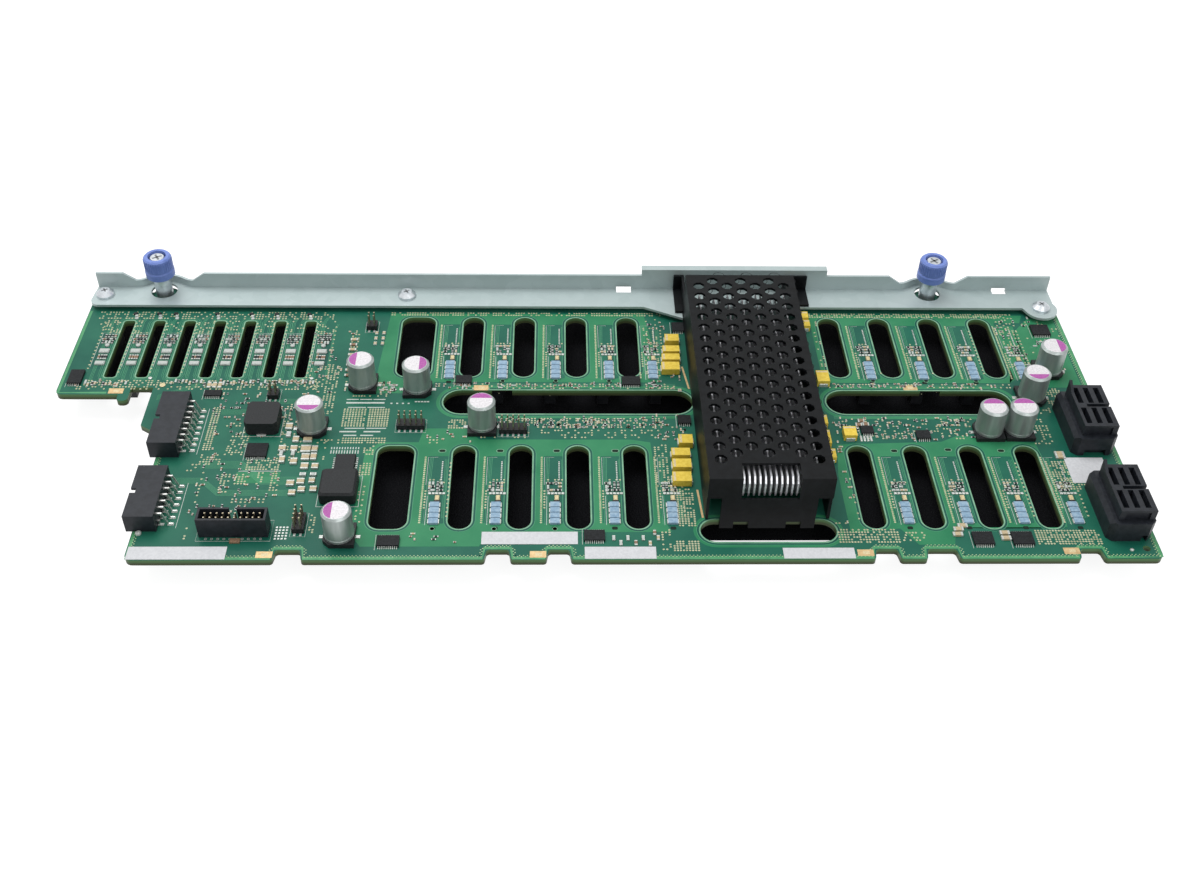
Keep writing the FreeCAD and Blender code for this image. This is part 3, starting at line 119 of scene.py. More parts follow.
def vary_roughness(nodes, links, shader, noise, low, high):
    spread = new_node(nodes, "MapRange", To_Min=low, To_Max=high)
    links.new(noise.outputs["Fac"], spread.inputs["Value"])
    links.new(spread.outputs["Result"], shader.inputs["Roughness"])


def ray_kinds(nodes, links, *kinds):
    """One where the ray is of any of the kinds, and nought elsewhere."""
    path = nodes.new("ShaderNodeLightPath")
    value = path.outputs[kinds[0]]
    for kind in kinds[1:]:
        either = nodes.new("ShaderNodeMath")
        either.operation = "MAXIMUM"
        links.new(value, either.inputs[0])
        links.new(path.outputs[kind], either.inputs[1])
        value = either.outputs["Value"]
    return value


def finish(name, first, second, roughness, metallic=0.0, scale=900, stretch=(1, 1, 1), bump=0.15,
           grain=4000, shine=0.5):
    """A surface of two close tones, with a fine grain that also shifts the gloss."""
    material, nodes, links, shader = new_material(name)
    shader.inputs["Metallic"].default_value = metallic
    shader.inputs["Specular IOR Level"].default_value = shine
    tone = object_noise(nodes, links, scale, stretch=stretch)
    links.new(two_tones(nodes, links, tone, first, second).outputs["Color"], shader.inputs["Base Color"])
    fine = object_noise(nodes, links, grain, 2.0, stretch)
    vary_roughness(nodes, links, shader, fine, max(roughness - 0.08, 0.02), min(roughness + 0.1, 1))
    add_bump(nodes, links, shader, fine.outputs["Fac"], bump, 0.00005)
    return material


def laminate():
    """Green solder mask over glass cloth; the cut edges are green above and bare olive laminate below."""
    material, nodes, links, shader = new_material("circuit_board_laminate")
    shader.inputs["Specular IOR Level"].default_value = 0.2
    wide = object_noise(nodes, links, 45, 4.0)
    mask = two_tones(nodes, links, wide, (0.006, 0.092, 0.062), (0.014, 0.128, 0.080))
    place = nodes.new("ShaderNodeTexCoord")
    height = nodes.new("ShaderNodeSeparateXYZ")
    links.new(place.outputs["Generated"], height.inputs["Vector"])
    olive, green = (0.062, 0.078, 0.034), (0.105, 0.215, 0.085)
    edge = colour_ramp(nodes, links, height.outputs["Z"], olive, green, 0.3, 0.75)
    surface = nodes.new("ShaderNodeNewGeometry")
    upright = nodes.new("ShaderNodeSeparateXYZ")
    links.new(surface.outputs["Normal"], upright.inputs["Vector"])
    level = nodes.new("ShaderNodeMath")
    level.operation = "ABSOLUTE"
    links.new(upright.outputs["Z"], level.inputs[0])
    mix = nodes.new("ShaderNodeMix")
    mix.data_type = "RGBA"
    links.new(level.outputs["Value"], mix.inputs["Factor"])
    links.new(edge.outputs["Color"], mix.inputs["A"])
    links.new(mask.outputs["Color"], mix.inputs["B"])
    links.new(mix.outputs["Result"], shader.inputs["Base Color"])
    weave = new_node(nodes, "TexVoronoi", Scale=1600)
    links.new(place.outputs["Object"], weave.inputs["Vector"])
    add_bump(nodes, links, shader, weave.outputs["Distance"], 0.08, 0.00004)
    vary_roughness(nodes, links, shader, wide, 0.3, 0.45)
    return material


def galvanised():
    """Zinc-coated sheet: pale spangles of slightly different tone and gloss."""
    material, nodes, links, shader = new_material("galvanised_sheet")
    shader.inputs["Metallic"].default_value = 0.4
    place = nodes.new("ShaderNodeTexCoord")
    spangle = new_node(nodes, "TexVoronoi", Scale=260)
    links.new(place.outputs["Object"], spangle.inputs["Vector"])
    shade = nodes.new("ShaderNodeSeparateColor")
    links.new(spangle.outputs["Color"], shade.inputs["Color"])
    tone = colour_ramp(nodes, links, shade.outputs["Red"], (0.385, 0.46, 0.46), (0.415, 0.49, 0.49))
    links.new(tone.outputs["Color"], shader.inputs["Base Color"])
    brushed = object_noise(nodes, links, 260, 4.0, (0.25, 3, 3))
    vary_roughness(nodes, links, shader, brushed, 0.38, 0.56)
    add_bump(nodes, links, shader, brushed.outputs["Fac"], 0.08, 0.0001)
    return material


def backing_cloth():
    """Black cloth with a short pile that catches a little light."""
    material, nodes, links, shader = new_material("backing_cloth")
    shader.inputs["Roughness"].default_value = 1.0
    shader.inputs["Specular IOR Level"].default_value = 0.1
    pile = object_noise(nodes, links, 2600, 2.0)
    tone = two_tones(nodes, links, pile, (0.003, 0.003, 0.004), (0.016, 0.017, 0.019), 0.45, 0.7)
    links.new(tone.outputs["Color"], shader.inputs["Base Color"])
    add_bump(nodes, links, shader, pile.outputs["Fac"], 0.6, 0.0004)
    return material


def floor_finish():
    """A white floor with a faint shadow; what looks at it directly sees it lifted to paper white."""
    material, nodes, links, shader = new_material("floor_finish")
    shader.inputs["Base Color"].default_value = (0.3, 0.3, 0.3, 1)
    shader.inputs["Roughness"].default_value = 0.95
    shader.inputs["Specular IOR Level"].default_value = 0.0
    lift = nodes.new("ShaderNodeMath")
    lift.operation = "MULTIPLY"
    lift.inputs[1].default_value = 0.87
    links.new(ray_kinds(nodes, links, "Is Camera Ray", "Is Glossy Ray"), lift.inputs[0])
    shader.inputs["Emission Color"].default_value = (1, 1, 1, 1)
    links.new(lift.outputs["Value"], shader.inputs["Emission Strength"])
    return material


def by_name(*materials):
    """Materials by name, without the number that Blender adds where a name is taken."""
    return {material.name.partition(".")[0]: material for material in materials}


MATERIALS = by_name(
    laminate(),
    galvanised(),
    finish("zinc_plated_steel", (0.50, 0.54, 0.57), (0.68, 0.71, 0.74), 0.3, 0.85, 500),
    finish("blue_knob_plastic", (0.13, 0.20, 0.52), (0.18, 0.26, 0.62), 0.4, 0, 300, shine=0.35),
    finish("nylon", (0.75, 0.74, 0.68), (0.84, 0.83, 0.78), 0.5),
    finish("charcoal_sheet", (0.002, 0.0025, 0.003), (0.005, 0.006, 0.007), 0.45, 0, 350, bump=0.3,
           grain=6000, shine=0.12),
    finish("heat_sink_aluminium", (0.42, 0.43, 0.45), (0.62, 0.63, 0.65), 0.34, 0.8, 700, (0.2, 0.2, 2)),
    finish("chip_package", (0.007, 0.008, 0.009), (0.016, 0.018, 0.020), 0.55, 0, 1500, shine=0.15),
    finish("capacitor_can", (0.30, 0.34, 0.33), (0.42, 0.46, 0.45), 0.38, 0.6, 400, (1, 1, 0.15),
           bump=0.08),
    finish("black_plastic", (0.006, 0.007, 0.008), (0.012, 0.013, 0.015), 0.48, 0, 600, shine=0.3),
    finish("inductor_body", (0.006, 0.007, 0.008), (0.014, 0.016, 0.018), 0.6, 0, 2200, bump=0.4,
           shine=0.3),
    finish("slate_plastic", (0.008, 0.010, 0.014), (0.016, 0.019, 0.025), 0.45, 0, 500, shine=0.28),
    finish("tinned_pins", (0.60, 0.60, 0.57), (0.78, 0.78, 0.76), 0.3, 0.9, 1200),
    finish("gold_pins", (0.30, 0.26, 0.18), (0.44, 0.38, 0.27), 0.3, 0.85, 1200),
    finish("socket_plastic", (0.009, 0.010, 0.012), (0.016, 0.017, 0.020), 0.5, 0, 500, shine=0.35),
    finish("tantalum_yellow", (0.70, 0.50, 0.05), (0.82, 0.62, 0.09), 0.45, 0, 900, shine=0.3),
    finish("pale_blue_ceramic", (0.18, 0.30, 0.42), (0.30, 0.43, 0.54), 0.42, 0, 900, shine=0.3),
)
TRIM = by_name(
    finish("copper_pour", (0.018, 0.175, 0.078), (0.034, 0.220, 0.100), 0.38, 0, 60, shine=0.2),
    finish("slot_rim", (0.14, 0.33, 0.20), (0.22, 0.42, 0.28), 0.45, 0, 300, shine=0.3),
    finish("dark_mask", (0.004, 0.070, 0.052), (0.008, 0.095, 0.066), 0.38, 0, 120, shine=0.2),
    finish("trace", (0.055, 0.255, 0.135), (0.080, 0.300, 0.160), 0.38, 0, 200, shine=0.2),
    finish("edge_trace", (0.055, 0.250, 0.110), (0.085, 0.310, 0.140), 0.4, 0, 300, shine=0.3),
    finish("stitch", (0.28, 0.42, 0.22), (0.42, 0.56, 0.32), 0.4, 0, 300, shine=0.3),
    finish("via", (0.46, 0.46, 0.27), (0.70, 0.68, 0.45), 0.45, 0.0, 700),
    # painted shade: the dark inside of holes and dimples, laid on as flat discs
    finish("hole", (0.006, 0.016, 0.011), (0.012, 0.024, 0.017), 0.8, shine=0.2),
    finish("solder", (0.42, 0.45, 0.42), (0.62, 0.64, 0.61), 0.34, 0.5, 1500),
    finish("gold_pad", (0.52, 0.36, 0.17), (0.66, 0.48, 0.25), 0.38, 0.4, 900),
    finish("silk", (0.42, 0.48, 0.44), (0.58, 0.62, 0.58), 0.6, 0, 2500, shine=0.2),
    finish("paper", (0.55, 0.56, 0.58), (0.62, 0.63, 0.65), 0.6, 0, 1200, shine=0.2),
    finish("black_part", (0.010, 0.012, 0.012), (0.024, 0.026, 0.028), 0.5, 0, 2500, shine=0.3),
    finish("brown_part", (0.16, 0.09, 0.05), (0.28, 0.17, 0.10), 0.5, 0, 2500),
    finish("tan_part", (0.40, 0.32, 0.19), (0.54, 0.44, 0.28), 0.5, 0, 2500),
    finish("white_part", (0.36, 0.40, 0.38), (0.52, 0.55, 0.52), 0.4, 0, 2500),
    finish("lid_grey", (0.60, 0.58, 0.60), (0.76, 0.74, 0.76), 0.45, 0.1, 1500, shine=0.3),
    finish("lid_pink", (0.34, 0.07, 0.30), (0.44, 0.12, 0.38), 0.45, 0, 1500, shine=0.3),
    # painted shade: the dark inside of the screws' cross recesses
    finish("recess", (0.10, 0.11, 0.12), (0.20, 0.21, 0.22), 0.5, 0.6),
    finish("amber", (0.55, 0.44, 0.24), (0.70, 0.60, 0.36), 0.4, 0.1, 2000),
)

NODE_FINISH = [
    ("circuit_board", "circuit_board_laminate"), ("stiffener_rail", "galvanised_sheet"),
    ("rail_screws", "zinc_plated_steel"), ("press_nuts", "zinc_plated_steel"),
    ("captive_sleeve", "zinc_plated_steel"), ("captive_screw", "zinc_plated_steel"),
    ("thumb_knob", "blue_knob_plastic"), ("retaining_washer", "nylon"),
    ("expander_cover", "charcoal_sheet"), ("heat_sink", "heat_sink_aluminium"),
    ("expander_chip", "chip_package"), ("bulk_capacitor", "capacitor_can"),
    ("capacitor_bases", "black_plastic"), ("power_inductor", "inductor_body"),
    ("filter_choke", "inductor_body"), ("power_socket", "slate_plastic"), ("power_pins", "tinned_pins"),
    ("cable_connector", "slate_plastic"), ("ribbon_header", "slate_plastic"),
    ("ribbon_pins", "gold_pins"), ("jumper_headers", "black_plastic"), ("jumper_pins", "gold_pins"),
    ("drive_socket", "socket_plastic"), ("card_sockets", "socket_plastic"),
    ("logic_chips", "chip_package"), ("tantalum_capacitors", "tantalum_yellow"),
    ("resistor_arrays", "pale_blue_ceramic"),
]


def dress_nodes():
    for name, node in frame["nodes"].items():
        slot = next(finish_name for start, finish_name in NODE_FINISH if name.startswith(start))
        node.data.materials.clear()
        node.data.materials.append(MATERIALS[slot])


# ------------------------------------------------------------------ building pieces

def new_piece(name, mesh):
    piece = bpy.data.objects.new(name, mesh)
    bpy.context.scene.collection.objects.link(piece)
    return piece


class Layer:
    """Collects faces in board millimetres and becomes one piece of one material."""

    def __init__(self, name, material, body="backplane"):
        self.name = name
        self.material = material
        self.body = body
        self.points = []
        self.faces = []

    def add(self, points, faces):
        first = len(self.points)
        self.points += points
        self.faces += [[first + index for index in face] for face in faces]

    def polygon(self, outline, z):
        self.add([(x, y, z) for x, y in outline], [list(range(len(outline)))])

    def disc(self, x, y, z, radius, sides=8, inner=0.0, down=False):
        """A flat disc, or a ring where an inner radius is given."""
        turns = [2 * math.pi * index / sides for index in range(sides)]
        outer = [(x + radius * math.cos(turn), y + radius * math.sin(turn), z) for turn in turns]
        if inner:
            hole = [(x + inner * math.cos(turn), y + inner * math.sin(turn), z) for turn in turns]
            faces = [[i, (i + 1) % sides, sides + (i + 1) % sides, sides + i] for i in range(sides)]
        else:
            hole = []
            faces = [list(range(sides))]
        if down:
            faces = [face[::-1] for face in faces]
        self.add(outer + hole, faces)

    def block(self, x, y, z, width, depth, height, edge=0.0, turn=0.0):
        """A block standing at z with its middle at x, y, its top edges chamfered by edge."""
        levels = [(0, 0), (height - edge, 0), (height, edge)] if edge else [(0, 0), (height, 0)]
        cosine, sine = math.cos(turn), math.sin(turn)
        points = []
        for rise, inset in levels:
            half_x, half_y = width / 2 - inset, depth / 2 - inset
            for side_x, side_y in ((-1, -1), (1, -1), (1, 1), (-1, 1)):
                along, across = side_x * half_x, side_y * half_y
                points.append((x + along * cosine - across * sine,
                               y + along * sine + across * cosine, z + rise))
        faces = []
        for level in range(len(levels) - 1):
            low, high = 4 * level, 4 * level + 4
            faces += [[low + i, low + (i + 1) % 4, high + (i + 1) % 4, high + i] for i in range(4)]
        top = 4 * (len(levels) - 1)
        faces.append([top, top + 1, top + 2, top + 3])
        self.add(points, faces)

    def turned(self, x, y, profile, sides=24):
        """A turned piece from pairs of radius and height."""
        points, faces = [], []
        for radius, height in profile:
            for index in range(sides):
                turn = 2 * math.pi * index / sides
                points.append((x + radius * math.cos(turn), y + radius * math.sin(turn), height))
        for ring in range(len(profile) - 1):
            low, high = ring * sides, (ring + 1) * sides
            for i in range(sides):
                j = (i + 1) % sides
                faces.append([low + i, low + j, high + j, high + i])
        self.add(points, faces)

    def strip(self, path, width, z, closed=False):
        """A flat line of the given width along a path of x, y points."""
        count = len(path)
        sides = []
        for index, (x, y) in enumerate(path):
            before = path[index - 1] if index or closed else path[index]
            after = path[(index + 1) % count] if index < count - 1 or closed else path[index]
            run_x, run_y = after[0] - before[0], after[1] - before[1]
            length = math.hypot(run_x, run_y) or 1
            side_x, side_y = -run_y / length * width / 2, run_x / length * width / 2
            sides.append(((x - side_x, y - side_y, z), (x + side_x, y + side_y, z)))
        points = [point for pair in sides for point in pair]
        links = count if closed else count - 1
        faces = []
        for index in range(links):
            after = (index + 1) % count
            faces.append([2 * index, 2 * after, 2 * after + 1, 2 * index + 1])
        self.add(points, faces)

    def border(self, box, out_x, out_y, width, z):
        """A line round a box, so far outside it."""
        left, front, right, rear = box[0] - out_x, box[1] - out_y, box[2] + out_x, box[3] + out_y
        self.strip([(left, front), (right, front), (right, rear), (left, rear)], width, z, closed=True)

    def done(self, smooth=False):
        mesh = bpy.data.meshes.new(self.name)
        mesh.from_pydata([spot(*point) for point in self.points], [], self.faces)
        mesh.materials.append(self.material)
        mesh.update()
        if smooth:
            mesh.shade_smooth()
        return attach(new_piece(self.name, mesh), self.body)


def round_outline(left, front, right, rear, radius, steps=6):
    """A rectangle with round corners, counter-clockwise."""
    corners = [(right - radius, front + radius, -90), (right - radius, rear - radius, 0),
               (left + radius, rear - radius, 90), (left + radius, front + radius, 180)]
    outline = []
    for x, y, start in corners:
        for step in range(steps + 1):
            turn = math.radians(start + 90 * step / steps)
            outline.append((x + radius * math.cos(turn), y + radius * math.sin(turn)))
    return outline


def filled(name, material, outlines, z):
    """A flat piece bounded by the first outline, with the others as its holes."""
    curve = bpy.data.curves.new(name, "CURVE")
    curve.dimensions = "2D"
    curve.fill_mode = "BOTH"
    for outline in outlines:
        spline = curve.splines.new("POLY")
        spline.points.add(len(outline) - 1)
        for point, (x, y) in zip(spline.points, outline):
            place = spot(x, y)
            point.co = (place.x, place.y, 0, 1)
        spline.use_cyclic_u = True
    rough = bpy.data.objects.new(name + "_rough", curve)
    mesh = bpy.data.meshes.new_from_object(rough)
    bpy.data.objects.remove(rough)
    bpy.data.curves.remove(curve)
    mesh.name = name
    mesh.transform(Matrix.Translation((0, 0, spot(0, 0, z).z)))
    mesh.materials.clear()
    mesh.materials.append(material)
    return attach(new_piece(name, mesh), "backplane")


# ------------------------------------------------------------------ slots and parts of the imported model

# width, length and corner radius of each slot whose name starts so
SLOT_SIZES = {
    "air_slot_lower": (8, 41, 4), "air_slot_upper": (8, 36.7, 4), "wide_slot_lower": (13, 41, 4),
    "wide_slot_upper": (13, 36.7, 4), "card_slot": (4.3, 34.7, 1.2), "cross_slot_left": (92, 13.2, 6.6),
    "cross_slot_right": (69, 13.2, 6.6), "hook_slot": (45.8, 10.4, 5.2),
}


def find_slots():
    """Each slot's left, front, right, rear and corner radius, centred on the record's opening."""
    slots = {}
    for opening in frame["record"]["physics"]["openings"]:
        name = opening["name"]
        width, length, radius = next(size for start, size in SLOT_SIZES.items() if name.startswith(start))
        low, high = opening["box_m"]
        x = (low[0] + high[0]) / 2 / MM
        y = ((low[1] + high[1]) / 2 - BOARD_LOW.y) / MM
        slots[name] = (x - width / 2, y - length / 2, x + width / 2, y + length / 2, radius)
    return slots


def islands(node):
    """The boxes of a node's separate solids, as left, front, right, rear, bottom and top."""
    mesh = frame["nodes"][node].data
    keys = [tuple(round(c, 6) for c in vertex.co) for vertex in mesh.vertices]
    owner = {key: key for key in keys}

    def root(key):
        while owner[key] != key:
            owner[key] = owner[owner[key]]
            key = owner[key]
        return key
    for face in mesh.polygons:
        first = root(keys[face.vertices[0]])
        for index in face.vertices[1:]:
            owner[root(keys[index])] = first
    groups = {}
    for key in set(keys):
        groups.setdefault(root(key), []).append(place_of(Vector(key)))
    boxes = []
    for points in groups.values():
        xs, ys, zs = zip(*points)
        boxes.append((min(xs), min(ys), max(xs), max(ys), min(zs), max(zs)))
    return sorted(boxes)


SLOTS = find_slots()
GROUPED = ["logic_chips", "tantalum_capacitors", "resistor_arrays", "jumper_headers", "capacitor_bases"]
ISLANDS = {name: islands(name) for name in GROUPED}
SINGLE = ["power_inductor", "filter_choke", "power_socket_1", "power_socket_2", "cable_connector_1",
          "cable_connector_2", "ribbon_header", "expander_cover"]


def part_box(node):
    low, high = (place_of(corner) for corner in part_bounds(node))
    return low[0], low[1], high[0], high[1], low[2], high[2]


NOTCHES = [(-100.9, -91.5), (-32.1, -23.4), (-11.8, -3.5), (96.5, 105), (113.7, 124.7), (164.8, 173.1)]
TAKEN = [box for boxes in ISLANDS.values() for box in boxes] + [part_box(name) for name in SINGLE]
LEFT_FRONT = -148.5
STEP_LEFT = -157.5
STEP_FRONT, STEP_REAR = 60, 84
RAIL_FRONT = 134
CARD_MIDDLES = [-180.5 + index * 11.75 for index in range(8)]
PIN_PITCH = 3
HEADER_PITCH = 2
RIBBON_PLACES = [(index - 4.5) * HEADER_PITCH for index in range(10)]
CHOKE = (-88.8, 25.4, -76.4, 38.7)


def on_board(x, y):
    """Whether a place lies on the board inside its outline and in front of the rail."""
    if y > RAIL_FRONT or y < 0.8 or x > HALF_WIDTH - 0.8:
        return False
    if y < STEP_FRONT:
        return x > LEFT_FRONT + 1
    if y < STEP_REAR:
        return x > STEP_LEFT + 1
    return x > 1 - HALF_WIDTH


def is_free(x, y, margin=0.6):
    """Whether a small part can stand at x, y, clear of slots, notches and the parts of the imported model."""
    if not on_board(x, y):
        return False
    if y < 5.8 and any(left - 1 < x < right + 1 for left, right in NOTCHES):
        return False
    for left, front, right, rear, radius in SLOTS.values():
        inside_x = max(left + radius - x, x - right + radius, 0)
        inside_y = max(front + radius - y, y - rear + radius, 0)
        if math.hypot(inside_x, inside_y) < radius + margin:
            return False
    for box in TAKEN:
        if box[0] - margin < x < box[2] + margin and box[1] - margin < y < box[3] + margin:
            return False
    return True


# ------------------------------------------------------------------ bare board: pours, rims, traces and vias

def find_stacks():
    """The blue resistor stacks: middle, front and rear of each."""
    stacks = {}
    for left, front, right, rear, _, _ in ISLANDS["resistor_arrays"]:
        stacks.setdefault((round((left + right) / 10), front > 80), []).append((left, front, right, rear))
    return [(sum(box[0] + box[2] for box in boxes) / 2 / len(boxes), min(box[1] for box in boxes),
             max(box[3] for box in boxes)) for boxes in stacks.values()]


STACKS = find_stacks()


def grown(slot, margin, steps=6):
    left, front, right, rear, radius = SLOTS[slot]
    return round_outline(left - margin, front - margin, right + margin, rear + margin,
                         radius + margin, steps)


def slot_rims():
    """The pale ring of bare laminate round every slot, with a dark ring and a line of mask outside it."""
    rims = Layer("slot_rims", TRIM["slot_rim"])
    shade = Layer("slot_shade_rings", TRIM["dark_mask"])
    lines = Layer("slot_mask_lines", TRIM["trace"])
    for slot in SLOTS:
        rims.strip(grown(slot, 0.27), 0.5, 0.035, closed=True)
        if slot.startswith("card"):
            for margin, width in ((0.95, 0.25), (1.7, 0.2), (2.3, 0.12)):
                lines.strip(grown(slot, margin, 2), width, 0.03, closed=True)
            continue
        shade.strip(grown(slot, 0.85), 0.66, 0.03, closed=True)
        lines.strip(grown(slot, 1.3), 0.2, 0.035, closed=True)
    rims.done()
    shade.done()
    lines.done()


def pours():
    """Copper areas under the mask, which look lighter than the board around them."""
    areas = {
        "pour_lower_left": [
            (-77, 12), (-73, 6), (-34, 6), (-30, 12.5), (30, 12.5), (27, 20), (25, 57), (18, 58.5),
            (-36, 58.5), (-41, 64.4), (-56, 64.4), (-57.5, 57), (-71, 57), (-76, 52)],
        "pour_lower_right": [
            (90, 12), (107, 14), (112, 6.5), (124, 6.5), (126, 14.5), (164, 14.5), (165.5, 30),
            (164, 57), (150, 58), (142, 60.5), (136, 60.5), (130, 57.5), (92, 56), (90, 40)],
        "pour_upper_left": [
            (-76.5, 84), (-58, 84), (-54, 90.5), (30, 90.5), (31, 96), (26, 133), (-74, 133)],
        "pour_upper_right": [
            (92, 90.5), (163, 90.5), (165.5, 100), (165.5, 128), (176, 128), (178, 133), (92, 133)],
        "pour_left": [(-119, 36), (-104, 36), (-104, 41.6), (-119, 41.6)],
        "pour_right": [(172, 88), (190, 88), (190, 131), (180, 131), (172, 122)],
    }
    for name, outline in areas.items():
        low_y, high_y = min(y for _, y in outline), max(y for _, y in outline)
        low_x, high_x = min(x for x, _ in outline), max(x for x, _ in outline)
        holes = [grown(slot, 0.6) for slot, box in SLOTS.items()
                 if low_x < box[0] and box[2] < high_x and low_y < box[1] and box[3] < high_y]
        for x, front, rear in STACKS:
            if low_x < x - 4.2 and x + 3.8 < high_x and low_y < front + 0.5 and rear + 24 < high_y:
                holes.append(round_outline(x - 4, front + 0.5, x + 3.5, rear + 23.6, 0.5, 2))
        filled(name, TRIM["copper_pour"], [outline] + holes, 0.02)
    for name, slot, margin in (("pour_cross_left", "cross_slot_left", 2.6),
                               ("pour_cross_right", "cross_slot_right", 2.6),
                               ("pour_hook", "hook_slot", 2.4)):
        filled(name, TRIM["copper_pour"], [grown(slot, margin), grown(slot, 0.3)], 0.015)


def front_edge_stitching():
    """The light band along the notched front edge, with its double row of small plated dots."""
    path = [(LEFT_FRONT + 0.8, 58), (LEFT_FRONT + 0.8, 0.8)]
    for left, right in NOTCHES:
        path += [(left - 0.6, 0.8), (left, 5.3), (right, 5.3), (right + 0.6, 0.8)]
    path += [(HALF_WIDTH - 0.8, 0.8), (HALF_WIDTH - 0.8, RAIL_FRONT)]
    band = Layer("edge_copper", TRIM["edge_trace"])
    band.strip(path, 1.3, 0.03)
    band.strip([(-191.7, RAIL_FRONT), (-191.7, STEP_REAR), (-174, STEP_REAR)], 1.1, 0.03)
    band.done()
    dots = Layer("edge_vias", TRIM["stitch"])
    for (x0, y0), (x1, y1) in zip(path, path[1:]):
        run = math.hypot(x1 - x0, y1 - y0)
        count = max(int(run / 0.62), 1)
        side_x, side_y = -(y1 - y0) / run, (x1 - x0) / run
        for index in range(count):
            share, out = (index + 0.5) / count, 0.55 + 0.55 * (index % 2)
            x, y = x0 + (x1 - x0) * share + side_x * out, y0 + (y1 - y0) * share + side_y * out
            dots.disc(x, y, 0.04, 0.24, 6)
    dots.done()


VIAS = Layer("vias", TRIM["via"])
# dark discs of painted shade where the vias, other holes and chip dimples are
HOLE_SHADE = Layer("via_hole_shade", TRIM["hole"])
VIA_RADIUS = 0.37
VIA_HOLE = VIA_RADIUS * 0.35


def via(x, y):
    if is_free(x, y, 0.3):
        VIAS.disc(x, y, 0.045, VIA_RADIUS, 6, VIA_HOLE)
        HOLE_SHADE.disc(x, y, 0.04, VIA_HOLE, 6)


def via_field(left, front, right, rear, pitch=1.0, keep=0.85, slant=0.0):
    """A grid of vias with some left out."""
    rows = max(int((rear - front) / pitch), 1)
    columns = max(int((right - left) / pitch), 1)
    for row in range(rows):
        for column in range(columns):
            if dice.random() < keep:
                y = front + (row + 0.5) * (rear - front) / rows
                via(left + (column + 0.5) * (right - left) / columns + slant * (y - front), y)


def along_line(x0, y0, x1, y1, steps):
    """Evenly spaced places from one end of a line to the other."""
    return [(x0 + (x1 - x0) * step / steps, y0 + (y1 - y0) * step / steps) for step in range(steps + 1)]


def via_line(x0, y0, x1, y1, pitch):
    for x, y in along_line(x0, y0, x1, y1, max(int(math.hypot(x1 - x0, y1 - y0) / pitch), 1)):
        via(x, y)


def dashes(x0, x1, y, length, gap, width=0.5):
    """A printed row of short dashes."""
    x = x0
    while x + length < x1 + 0.01:
        if is_free(x + length / 2, y, 0.2):
            SILK.strip([(x, y), (x + length, y)], width, 0.045)
        x += length + gap


